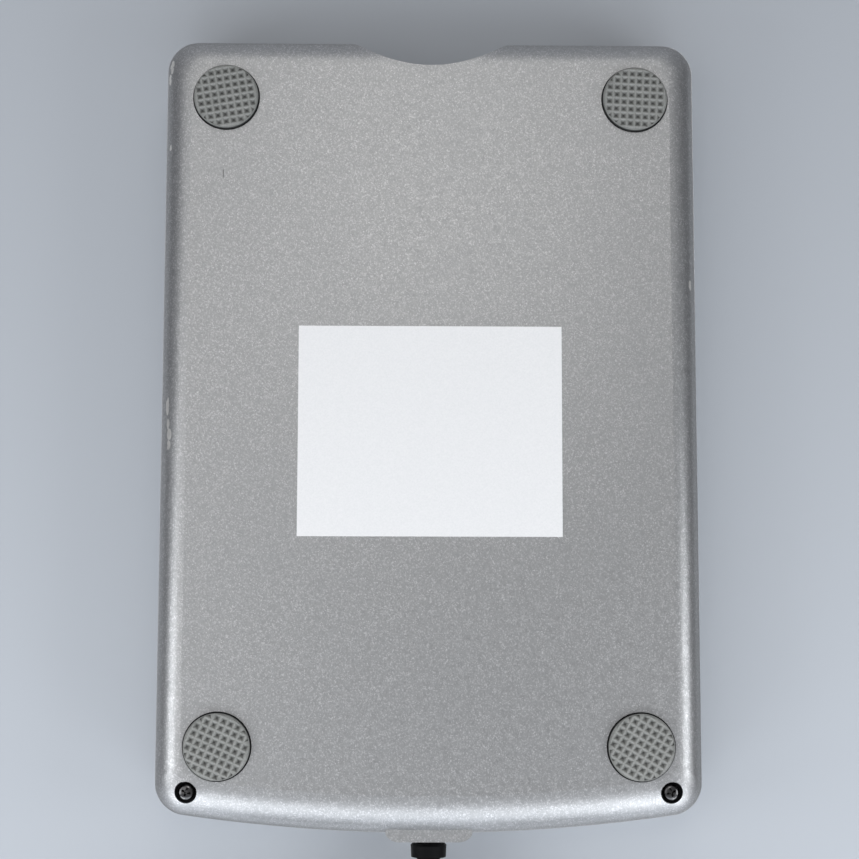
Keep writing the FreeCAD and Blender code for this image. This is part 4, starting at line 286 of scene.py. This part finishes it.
def foot_rubber():
    """Grey rubber with dusty patches, and painted shade that darkens the grooves of its tread."""
    paint = Paint("foot_rubber").set(Specular_IOR_Level=0.3)
    speck = paint.noise(0.0003, detail=3.0)
    dust = paint.noise(0.004, detail=4.0)
    height = paint.node("ShaderNodeSeparateXYZ")
    paint.link(paint.place, height.inputs[0])
    depth = paint.math("MULTIPLY", height.outputs["Z"], 0.8 / TREAD_HEIGHT, clamp=True)
    base = paint.ramp(speck, (0.3, (0.24, 0.245, 0.235)), (0.7, (0.31, 0.315, 0.3)))
    base = paint.mix(paint.ramp(dust, (0.45, 0.0), (0.75, 0.35)), base, (0.36, 0.36, 0.35))
    # Painted shade: the deeper the tread's groove, the darker the rubber.
    groove_shade = paint.ramp(depth, (0.1, 0.0), (0.8, 0.75), (0.9, 1.0))
    paint.colour(paint.mix(groove_shade, base, (0.03, 0.031, 0.03)))
    paint.roughness(paint.ramp(speck, (0.3, 0.55), (0.7, 0.75)))
    paint.bump((speck, 0.15, 0.00006))
    return paint.material


def label_film():
    """White film with a little gloss and faint waves from the glue under it."""
    paint = Paint("label_film").set(Specular_IOR_Level=0.5)
    wave = paint.noise(0.004, detail=2.0, place=paint.stretched(1.0, 0.6, 1.0))
    fibre = paint.noise(0.0003, detail=3.0)
    paint.colour(paint.ramp(fibre, (0.3, (0.84, 0.845, 0.85)), (0.7, (0.9, 0.9, 0.905))))
    paint.roughness(paint.ramp(wave, (0.3, 0.3), (0.7, 0.42)))
    paint.bump((wave, 0.1, 0.0002), (fibre, 0.06, 0.00004))
    return paint.material


def metal(name, colour, rough, streak=(1.0, 1.0, 1.0)):
    """Bare or plated metal with uneven gloss. The streak's smallest factor is the way the lines run."""
    paint = Paint(name).set(Metallic=1.0)
    lines = paint.noise(0.0008, detail=4.0, place=paint.stretched(*streak))
    blotch = paint.noise(0.01, detail=2.0)
    dark = [c * 0.82 for c in colour]
    paint.colour(paint.ramp(blotch, (0.3, dark), (0.7, list(colour))))
    paint.roughness(paint.ramp(lines, (0.3, rough - 0.08), (0.7, rough + 0.1)))
    paint.bump((lines, 0.05, 0.00004))
    return paint.material


def clear_plastic():
    """Clear, faintly green plastic of the light pipe and its lamp."""
    paint = Paint("clear_plastic").set(Transmission_Weight=0.6, IOR=1.49)
    haze = paint.noise(0.001, detail=2.0)
    paint.colour(paint.ramp(haze, (0.3, (0.72, 0.78, 0.7)), (0.7, (0.8, 0.84, 0.78))))
    paint.roughness(paint.ramp(haze, (0.3, 0.12), (0.7, 0.22)))
    return paint.material


def circuit_board():
    """Green solder resist over faintly raised tracks."""
    paint = Paint("circuit_board").set(Specular_IOR_Level=0.5)
    tracks = paint.node("ShaderNodeTexBrick")
    tracks.inputs["Scale"].default_value = 300.0
    paint.link(paint.place, tracks.inputs["Vector"])
    grain = paint.noise(0.002, detail=3.0)
    base = paint.ramp(grain, (0.3, (0.03, 0.17, 0.08)), (0.7, (0.05, 0.23, 0.11)))
    paint.colour(paint.mix(paint.math("MULTIPLY", tracks.outputs["Fac"], 0.5), base, (0.08, 0.32, 0.15)))
    paint.roughness(paint.ramp(grain, (0.3, 0.3), (0.7, 0.42)))
    paint.bump((tracks.outputs["Fac"], 0.2, 0.00005))
    return paint.material


def jacket_rubber():
    """Matt black rubber of the cord, plug grip and strain relief."""
    paint = Paint("jacket_rubber").set(Specular_IOR_Level=0.08)
    grain = paint.noise(0.0006, detail=3.0)
    scuff = paint.noise(0.006, detail=4.0)
    paint.colour(paint.ramp(scuff, (0.35, (0.003, 0.003, 0.0035)), (0.75, (0.008, 0.008, 0.0085))))
    paint.roughness(paint.ramp(grain, (0.3, 0.5), (0.7, 0.62)))
    paint.bump((grain, 0.1, 0.00005))
    return paint.material


def wound_copper():
    """Enamelled wire, with dark lines between its turns."""
    paint = Paint("wound_copper").set(Metallic=0.9)
    turns = paint.noise(0.0003, detail=1.0, place=paint.stretched(1.0, 1.0, 6.0))
    paint.colour(paint.ramp(turns, (0.3, (0.36, 0.13, 0.05)), (0.7, (0.75, 0.36, 0.17))))
    paint.roughness(paint.ramp(turns, (0.3, 0.25), (0.7, 0.4)))
    paint.bump((turns, 0.3, 0.0001))
    return paint.material


SILVER = silver_paint()
DARK_PLASTIC = moulded_plastic("dark_plastic", (0.016, 0.016, 0.018))
WHITE_PLASTIC = moulded_plastic("white_plastic", (0.78, 0.78, 0.74))
CARRIAGE_PLASTIC = moulded_plastic("carriage_plastic", (0.06, 0.06, 0.065), rough=0.35)
RIBBON_PLASTIC = moulded_plastic("ribbon_plastic", (0.75, 0.74, 0.7), rough=0.35, grain=0.0008)
HEAD_CERAMIC = moulded_plastic("head_ceramic", (0.62, 0.58, 0.5), rough=0.25)
FOOT_RUBBER = foot_rubber()
LABEL_FILM = label_film()
JACKET = jacket_rubber()
CLEAR = clear_plastic()
BOARD = circuit_board()
COPPER = wound_copper()
BLACK_SCREW = metal("black_screw", (0.12, 0.12, 0.122), rough=0.17)
PLATED = metal("plated_steel", (0.72, 0.72, 0.7), rough=0.28)
SHEET_STEEL = metal("sheet_steel", (0.62, 0.64, 0.66), rough=0.36, streak=(1.0, 0.08, 1.0))
CORE_STEEL = metal("core_steel", (0.3, 0.3, 0.31), rough=0.42)
BRONZE = metal("bronze", (0.55, 0.38, 0.2), rough=0.4)
GROUND_STEEL = metal("ground_steel", (0.78, 0.78, 0.78), rough=0.16, streak=(1.0, 0.1, 1.0))
SPRING_STEEL = metal("spring_steel", (0.42, 0.42, 0.43), rough=0.3)

BY_SLOT = {
    "silver_plastic": SILVER,
    "dark_plastic": DARK_PLASTIC,
    "foot_rubber": FOOT_RUBBER,
    "bare_label": LABEL_FILM,
    "black_screw": BLACK_SCREW,
    "plated_screw": PLATED,
    "zinc_steel": SHEET_STEEL,
    "clear_plastic": CLEAR,
    "white_plastic": WHITE_PLASTIC,
    "green_board": BOARD,
    "core_steel": CORE_STEEL,
    "copper_wire": COPPER,
    "bronze": BRONZE,
    "ground_steel": GROUND_STEEL,
    "carriage_plastic": CARRIAGE_PLASTIC,
    "head_ceramic": HEAD_CERAMIC,
    "spring_steel": SPRING_STEEL,
    "ribbon_plastic": RIBBON_PLASTIC,
    "cord_jacket": JACKET,
    "plug_metal": PLATED,
}


def dress(piece, material):
    piece.data.materials.clear()
    piece.data.materials.append(material)


def dress_frame():
    for part in frame["record"]["subparts"]:
        dress(frame["nodes"][part["node"]], BY_SLOT[part["material_slot"]])


# Mesh helpers -----------------------------------------------------------------------------------

HARD_EDGE = math.radians(35)


def new_piece(name, mesh, material, node):
    """A finished mesh, smooth except at its hard edges, as a piece of the case that stands for a node."""
    form = bpy.data.meshes.new(name)
    mesh.to_mesh(form)
    mesh.free()
    form.set_sharp_from_angle(angle=HARD_EDGE)
    piece = bpy.data.objects.new(name, form)
    bpy.context.collection.objects.link(piece)
    dress(piece, material)
    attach(piece, CASE_BODY)
    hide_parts(node)
    return piece


def spun(mesh, profile, centre, steps=64):
    """Spins a list of (radius, height) round an upright axis."""
    x, y, z = centre
    rings = []
    for radius, height in profile:
        if radius < 1e-7:
            rings.append([mesh.verts.new((x, y, z + height))])
            continue
        ring = []
        for step in range(steps):
            turn = 2 * math.pi * step / steps
            spot = (x + radius * math.cos(turn), y + radius * math.sin(turn), z + height)
            ring.append(mesh.verts.new(spot))
        rings.append(ring)
    for lower, upper in zip(rings, rings[1:]):
        for step in range(steps):
            following = (step + 1) % steps
            corners = [lower[step % len(lower)], lower[following % len(lower)]]
            corners += [upper[following % len(upper)], upper[step % len(upper)]]
            unique = list(dict.fromkeys(corners))
            if len(unique) > 2:
                mesh.faces.new(unique)


# Feet -------------------------------------------------------------------------------------------

TREAD_PITCH = 1.4 * MM
FOOT_SLACK = 0.06 * MM
FOOT_RIM = 0.18 * MM
RIM_HEIGHT = 0.2 * MM
RIDGE_HEIGHT = 0.02 * MM
EDGE_SOFTNESS = 0.1 * MM
FLANGE_EDGE = 0.3 * MM
FLANGE_END = 0.4 * MM
HOLLOW_REACH = 0.7 * TREAD_PITCH
# Each ring of a hollow, as a share of the pitch and a height: its ridge's middle, its lip and its floor.
HOLLOW_RINGS = ((0.5, RIDGE_HEIGHT), (0.42, RIDGE_HEIGHT), (0.06, TREAD_HEIGHT))
# Degrees that each foot's tread is turned by, in the order of FEET.
TREAD_TURNS = (-10.0, 3.0, 24.0, 31.0)


def make_foot(node, turn):
    """A round foot whose tread is a grid of square hollows inside a thin rim."""
    x, y, _ = middle(node)
    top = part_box(node)[1][2]
    outer = FOOT_RADIUS - FOOT_SLACK
    inner = outer - FOOT_RIM
    profile = [
        (0, top),
        (FOOT_RADIUS, top),
        (FOOT_RADIUS, top - FLANGE_EDGE),
        (outer, top - FLANGE_END),
        (outer, RIM_HEIGHT + EDGE_SOFTNESS),
        (outer - EDGE_SOFTNESS, RIM_HEIGHT),
        (inner, RIM_HEIGHT),
        (inner - EDGE_SOFTNESS / 2, TREAD_HEIGHT + EDGE_SOFTNESS),
        (0, TREAD_HEIGHT + EDGE_SOFTNESS),
    ]
    mesh = bmesh.new()
    spun(mesh, profile, (x, y, 0), steps=96)
    bmesh.ops.recalc_face_normals(mesh, faces=mesh.faces)
    grid = Matrix.Rotation(math.radians(turn), 2)
    count = math.ceil(inner / TREAD_PITCH) + 1
    for column in range(-count, count + 1):
        for row in range(-count, count + 1):
            spot = grid @ Vector(((column + 0.5) * TREAD_PITCH, (row + 0.5) * TREAD_PITCH))
            if spot.length < inner + HOLLOW_REACH:
                add_hollow(mesh, (x, y), spot, grid, inner)
    bmesh.ops.remove_doubles(mesh, verts=mesh.verts, dist=0.001 * MM)
    new_piece(node + "_tread", mesh, FOOT_RUBBER, node)


def add_hollow(mesh, centre, spot, grid, reach):
    """One square hollow with half of the ridge round it, cut off at the rim's circle."""
    rings = []
    for scale, height in HOLLOW_RINGS:
        ring = []
        for across, along in ((-1, -1), (1, -1), (1, 1), (-1, 1)):
            place = spot + grid @ Vector((across, along)) * scale * TREAD_PITCH
            outside = place.length > reach
            if outside:
                place *= reach / place.length
            level = RIM_HEIGHT if outside else height
            ring.append(mesh.verts.new((centre[0] + place.x, centre[1] + place.y, level)))
        rings.append(ring)
    for outer, inner in zip(rings, rings[1:]):
        for index in range(4):
            following = (index + 1) % 4
            mesh.faces.new([outer[index], inner[index], inner[following], outer[following]])
    mesh.faces.new(rings[-1][::-1])


# Case screws ------------------------------------------------------------------------------------

# The head's dome, as shares of its radius and heights in millimetres.
SCREW_DOME = ((0, 0.0), (0.3, 0.02), (0.55, 0.07), (0.75, 0.15), (0.9, 0.26), (0.97, 0.36), (1, 0.5))
SCREW_TURNS = (20.0, 70.0)
CROSS_ARM = 0.95 * MM
CROSS_HALF_WIDTH = 0.2 * MM
CROSS_DEPTH = 0.62 * MM
CROSS_TAPER = 0.42
CUT_LEAD = 0.3 * MM


def make_case_screws():
    """Two black screws with a cross recess in a domed head."""
    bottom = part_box("case_screws")[0][2]
    head, length, shank = 1.0 * MM, size("case_screws")[2], 0.9 * MM
    profile = [(SCREW_RADIUS * share, height * MM) for share, height in SCREW_DOME]
    profile += [(SCREW_RADIUS, head), (shank, head), (shank, length), (0, length)]
    mesh = bmesh.new()
    for x, y in SCREW_PLACES:
        spun(mesh, profile, (x, y, bottom), steps=48)
    bmesh.ops.recalc_face_normals(mesh, faces=mesh.faces)
    piece = new_piece("case_screw_pair", mesh, BLACK_SCREW, "case_screws")
    for (x, y), turn in zip(SCREW_PLACES, SCREW_TURNS):
        cut_cross(piece, x, y, bottom, turn)


def cut_cross(piece, x, y, z, turn):
    """Cuts a tapered cross into a screw's head."""
    arm, half = CROSS_ARM, CROSS_HALF_WIDTH
    outline = [
        (arm, -half), (arm, half), (half, half), (half, arm), (-half, arm), (-half, half),
        (-arm, half), (-arm, -half), (-half, -half), (-half, -arm), (half, -arm), (half, -half),
    ]
    turned = Matrix.Rotation(math.radians(turn), 2)
    mesh = bmesh.new()
    rings = []
    for scale, height in ((1.0, -CUT_LEAD), (1.0, 0.0), (CROSS_TAPER, CROSS_DEPTH)):
        spots = [turned @ Vector((px * scale, py * scale)) for px, py in outline]
        rings.append([mesh.verts.new((x + spot.x, y + spot.y, z + height)) for spot in spots])
    count = len(outline)
    for lower, upper in zip(rings, rings[1:]):
        for index in range(count):
            following = (index + 1) % count
            mesh.faces.new([lower[index], lower[following], upper[following], upper[index]])
    mesh.faces.new(rings[0][::-1])
    mesh.faces.new(rings[-1])
    bmesh.ops.recalc_face_normals(mesh, faces=mesh.faces)
    form = bpy.data.meshes.new("cross_cutter")
    mesh.to_mesh(form)
    mesh.free()
    cutter = bpy.data.objects.new("cross_cutter", form)
    bpy.context.collection.objects.link(cutter)
    carve = piece.modifiers.new("cross", "BOOLEAN")
    carve.object = cutter
    carve.operation = "DIFFERENCE"
    carve.solver = "EXACT"
    bpy.context.view_layer.update()
    depsgraph = bpy.context.evaluated_depsgraph_get()
    carved = bpy.data.meshes.new_from_object(piece.evaluated_get(depsgraph))
    piece.modifiers.remove(carve)
    piece.data = carved
    bpy.data.objects.remove(cutter)


# Cord -------------------------------------------------------------------------------------------

CORD_DIAMETER = 4.0 * MM
RELIEF_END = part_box("strain_relief")[1][1]
CORD_HEIGHT = middle("strain_relief")[2]
FLOOR_CORD = 2.1 * MM
TOP_HEIGHT = 6.2 * MM
TURN_GAP = 4.1 * MM
TOP_TURN = 24.1 * MM
INNER_TURN = 17.7 * MM
OUTER_TURN = 26.2 * MM
COIL_X = 0.4 * MM - TOP_TURN
COIL_Y = RELIEF_END + 30.5 * MM
POINTS_PER_TURN = 16
DROP_TURNS = 0.3
LEAVING_TURN = 0.75
CORD_START = [
    (0.0, RELIEF_END - 3.0 * MM, CORD_HEIGHT),
    (0.0, RELIEF_END + 9.3 * MM, CORD_HEIGHT),
    (0.3 * MM, RELIEF_END + 20.3 * MM, 6.7 * MM),
]
CORD_END = [
    (-14.2 * MM, RELIEF_END + 4.3 * MM, FLOOR_CORD),
    (-3.6 * MM, RELIEF_END + 5.4 * MM, 2.4 * MM),
    (5.5 * MM, RELIEF_END + 8.1 * MM, 4.0 * MM),
    (15.5 * MM, RELIEF_END + 11.43 * MM, 4.0 * MM),
]


def coil_points():
    """In along the upper layer, down through the middle, and out along the lower layer."""
    inward = (TOP_TURN - INNER_TURN) / TURN_GAP
    outward = (OUTER_TURN - INNER_TURN) / TURN_GAP
    drop = DROP_TURNS + (LEAVING_TURN - inward - DROP_TURNS - outward) % 1.0
    total = inward + drop + outward
    count = round(total * POINTS_PER_TURN)
    points = []
    for index in range(count + 1):
        turns = total * index / count
        radius, height = INNER_TURN, FLOOR_CORD
        if turns < inward:
            radius, height = TOP_TURN - TURN_GAP * turns, TOP_HEIGHT
        elif turns < inward + drop:
            share = (turns - inward) / drop
            height = TOP_HEIGHT + (FLOOR_CORD - TOP_HEIGHT) * share * share * (3 - 2 * share)
        else:
            radius = INNER_TURN + TURN_GAP * (turns - inward - drop)
        angle = 2 * math.pi * turns
        points.append((COIL_X + radius * math.cos(angle), COIL_Y + radius * math.sin(angle), height))
    return points


def make_cord():
    """The whole cord as one round curve, from inside the strain relief to inside the plug."""
    curve = bpy.data.curves.new("cord", "CURVE")
    curve.dimensions = "3D"
    curve.bevel_depth = 1.0
    curve.bevel_resolution = 6
    curve.resolution_u = 6
    curve.use_fill_caps = True
    points = CORD_START + coil_points() + CORD_END
    spline = curve.splines.new("NURBS")
    spline.points.add(len(points) - 1)
    for point, place in zip(spline.points, points):
        point.co = (*place, 1.0)
        point.radius = CORD_DIAMETER / 2
    spline.order_u = 3
    spline.use_endpoint_u = True
    cord = bpy.data.objects.new("cord", curve)
    bpy.context.collection.objects.link(cord)
    dress(cord, JACKET)
    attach(cord, CASE_BODY)
    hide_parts("cord_run", "cord_coil", "cord_end")
    length = spline_length(cord)


def spline_length(cord):
    """The length of the cord's own line, measured with no bevel."""
    bevel = cord.data.bevel_depth
    cord.data.bevel_depth = 0.0
    bpy.context.view_layer.update()
    line = bpy.data.meshes.new_from_object(cord.evaluated_get(bpy.context.evaluated_depsgraph_get()))
    cord.data.bevel_depth = bevel
    spots = [vertex.co for vertex in line.vertices]
    total = sum((spots[a] - spots[b]).length for a, b in (edge.vertices for edge in line.edges))
    bpy.data.meshes.remove(line)
    return total


# Soft edges on frame nodes ----------------------------------------------------------------------

# Width of each node's soft edge, in millimetres.
SOFT_EDGES = {
    "plug_grip": 1.2,
    "plug_shell": 0.15,
    "front_bezel": 0.18,
    "eject_button": 0.25,
    "dust_flap": 0.12,
    "strain_relief": 0.12,
    "light_pipe": 0.12,
    "blank_label": 0.04,
}


def soften(node, width):
    piece = frame["nodes"][node]
    bevel = piece.modifiers.new("soft_edges", "BEVEL")
    bevel.width = width * MM
    bevel.segments = 3
    bevel.limit_method = "ANGLE"
    bevel.angle_limit = math.radians(40)


# Stage ------------------------------------------------------------------------------------------

FLOOR_COLOUR = (0.66, 0.69, 0.73)
CLOTH_COLOUR = (0.5, 0.53, 0.57)
BACKGROUND = (0.72, 0.75, 0.79)
SKY_EDGE = 0.4
BACKDROP_GAP = 0.3 * MM
FLOOR_SIZE = 60.0
NEAR_FLOOR = 0.3
FADE_REACH = 4
BACKDROP_SIZE = 3.0


def stage_material(name, colour, near=None):
    """Pale matt that only the camera and clear pieces see, and only from its front.

    Light reaches the drive through it. Beyond the near radius it fades to the plain background.
    """
    paint = Paint(name)
    paint.tree.nodes.remove(paint.shader)
    matt = paint.node("ShaderNodeBsdfDiffuse")
    matt.inputs["Color"].default_value = (*colour, 1.0)
    surface = matt.outputs[0]
    if near:
        plain = paint.node("ShaderNodeEmission")
        plain.inputs["Color"].default_value = (*BACKGROUND, 1.0)
        close = paint.blob((0.0, 0.0, 0.0), (near * FADE_REACH, near * FADE_REACH, 1.0))
        close = paint.ramp(close, (0.0, 0.0), (1 - 1 / FADE_REACH, 1.0))
        fade = paint.node("ShaderNodeMixShader")
        paint.link(close, fade.inputs["Fac"])
        paint.link(plain.outputs[0], fade.inputs[1])
        paint.link(surface, fade.inputs[2])
        surface = fade.outputs[0]
        paint.material.cycles.emission_sampling = "NONE"
    clear = paint.node("ShaderNodeBsdfTransparent")
    rays = paint.node("ShaderNodeLightPath")
    seen = paint.math("MAXIMUM", rays.outputs["Is Camera Ray"], rays.outputs["Is Transmission Ray"])
    front = paint.math("SUBTRACT", 1.0, paint.node("ShaderNodeNewGeometry").outputs["Backfacing"])
    mix = paint.node("ShaderNodeMixShader")
    paint.link(paint.math("MULTIPLY", seen, front), mix.inputs["Fac"])
    paint.link(clear.outputs[0], mix.inputs[1])
    paint.link(surface, mix.inputs[2])
    paint.link(mix.outputs[0], paint.tree.nodes["Material Output"].inputs["Surface"])
    return paint.material


def make_plane(name, extent, height, upwards, material):
    """A square stage plane whose front faces up or down."""
    half = extent / 2
    corners = [(-half, -half, height), (half, -half, height), (half, half, height), (-half, half, height)]
    form = bpy.data.meshes.new(name)
    form.from_pydata(corners, [], [(0, 1, 2, 3) if upwards else (3, 2, 1, 0)])
    plane = bpy.data.objects.new(name, form)
    bpy.context.collection.objects.link(plane)
    dress(plane, material)


# Light from the minus and plus side along each axis, blended over the directions between them.
AMBIENT = {
    "X": ((0.07, 0.07, 0.08), (0.03, 0.03, 0.035)),
    "Y": ((0.46, 0.48, 0.52), (1.15, 1.23, 1.36)),
    "Z": ((0.37, 0.37, 0.375), (0.75, 0.77, 0.80)),
}


def make_world():
    """A soft dome that is dim at the sides and bright at the rear.

    The camera, clear pieces and reflections above the sky's edge see the plain background instead.
    """
    world = bpy.data.worlds.new("studio")
    bpy.context.scene.world = world
    world.use_nodes = True
    nodes, links = world.node_tree.nodes, world.node_tree.links

    def node(kind, *inputs, **settings):
        made = nodes.new(kind)
        for name, value in settings.items():
            setattr(made, name, value)
        for socket, value in inputs:
            if hasattr(value, "links"):
                links.new(value, made.inputs[socket])
            else:
                made.inputs[socket].default_value = value
        return made

    def maths(operation, a, b):
        return node("ShaderNodeMath", (0, a), (1, b), operation=operation).outputs[0]

    sides = node("ShaderNodeSeparateXYZ", (0, node("ShaderNodeTexCoord").outputs["Generated"]))
    total = (0.0, 0.0, 0.0)
    for axis, (minus, plus) in AMBIENT.items():
        side = sides.outputs[axis]
        positive = maths("GREATER_THAN", side, 0.0)
        colour = node("ShaderNodeMix", (0, positive), (4, minus), (5, plus), data_type="VECTOR").outputs[1]
        share = maths("MULTIPLY", side, side)
        part = node("ShaderNodeVectorMath", (0, colour), (3, share), operation="SCALE").outputs[0]
        total = node("ShaderNodeVectorMath", (0, part), (1, total), operation="ADD").outputs[0]
    rays = node("ShaderNodeLightPath")
    above = maths("GREATER_THAN", sides.outputs["Z"], SKY_EDGE)
    seen = maths("MULTIPLY", rays.outputs["Is Glossy Ray"], above)
    for kind in ("Is Camera Ray", "Is Transmission Ray"):
        seen = maths("MAXIMUM", seen, rays.outputs[kind])
    colour = node("ShaderNodeMix", (0, seen), (4, total), (5, BACKGROUND), data_type="VECTOR").outputs[1]
    links.new(colour, nodes["Background"].inputs["Color"])


# Each lamp's place, width, height, watts and colour. All of them face the drive.
LAMPS = {
    "key": ((0.015, -0.16, -0.55), 0.14, 0.14, 0.137, (1.0, 0.98, 0.94)),
    "front_overhead": ((0.0, -0.5, -0.6), 0.5, 0.4, 0.5, (1.0, 0.98, 0.94)),
    "left_overhead": ((-0.36, 0.0, -0.58), 0.4, 0.5, 0.55, (1.0, 0.99, 0.98)),
    "side_left": ((-0.23, 0.085, -0.14), 0.12, 0.12, 0.15, (0.96, 0.98, 1.0)),
    "side_right": ((0.23, 0.085, -0.14), 0.12, 0.12, 0.17, (0.96, 0.98, 1.0)),
    "corner_left": ((-0.16, 0.24, -0.1), 0.12, 0.12, 0.16, (0.96, 0.98, 1.0)),
    "corner_right": ((0.16, 0.24, -0.1), 0.12, 0.12, 0.18, (0.96, 0.98, 1.0)),
    "near_rear": ((0.0, 0.22, -0.12), 0.25, 0.1, 0.11, (0.94, 0.97, 1.0)),
    "above": ((0.4, -0.8, 2.6), 1.6, 1.6, 30.0, (1.0, 0.99, 0.97)),
    "above_left": ((-0.9, -0.2, 2.5), 1.4, 1.4, 10.0, (0.97, 0.98, 1.0)),
    "above_rear": ((0.4, 1.0, 2.5), 1.4, 1.4, 10.0, (0.98, 0.99, 1.0)),
}


def make_lights():
    for name, (place, width, height, watts, colour) in LAMPS.items():
        data = bpy.data.lights.new(name, "AREA")
        data.shape = "RECTANGLE"
        data.size, data.size_y = width, height
        data.energy = watts
        data.color = colour
        light = bpy.data.objects.new(name, data)
        bpy.context.collection.objects.link(light)
        light.location = place
        heading = Vector((0, 0, 0)) - Vector(place)
        light.rotation_euler = heading.to_track_quat("-Z", "Y").to_euler()
        light.visible_camera = False


# Camera -----------------------------------------------------------------------------------------

CAMERA_OFFSET = mm(0.13, 0.0, 320.45)
CAMERA_PITCH = math.radians(-6.04)
CAMERA_YAW = math.radians(-0.81)
CAMERA_ROLL = math.radians(0.22)
SENSOR = 36.0
FOCAL_PIXELS = 1700
PHOTO_PIXELS = 859
CLIP_START = 10 * MM


def make_camera():
    """The photograph's camera, looking up from under the drive, with its rear at the picture's bottom."""
    turn = Matrix.Rotation(CAMERA_ROLL, 3, "Z") @ Matrix.Rotation(CAMERA_YAW, 3, "Y")
    turn = turn @ Matrix.Rotation(CAMERA_PITCH, 3, "X")
    place = turn.transposed() @ -Vector(CAMERA_OFFSET)
    right, down, ahead = turn[0], turn[1], turn[2]
    axes = Matrix((right, -down, -ahead)).transposed().to_4x4()
    data = bpy.data.cameras.new("camera")
    data.sensor_width = SENSOR
    data.lens = FOCAL_PIXELS / PHOTO_PIXELS * SENSOR
    data.clip_start = CLIP_START
    camera = bpy.data.objects.new("camera", data)
    bpy.context.collection.objects.link(camera)
    camera.matrix_world = Matrix.Translation(place) @ axes
    bpy.context.scene.camera = camera


# The scene --------------------------------------------------------------------------------------

bpy.context.scene.view_settings.view_transform = "Standard"
dress_frame()
for node, turn in zip(FEET, TREAD_TURNS):
    make_foot(node, turn)
make_case_screws()
make_cord()
for node, width in SOFT_EDGES.items():
    soften(node, width)
make_plane("floor", FLOOR_SIZE, 0.0, True, stage_material("floor_matt", FLOOR_COLOUR, near=NEAR_FLOOR))
backdrop_height = CAD_BOX[1][2] + BACKDROP_GAP
make_plane("backdrop", BACKDROP_SIZE, backdrop_height, False, stage_material("cloth_matt", CLOTH_COLOUR))
make_world()
make_lights()
make_camera()
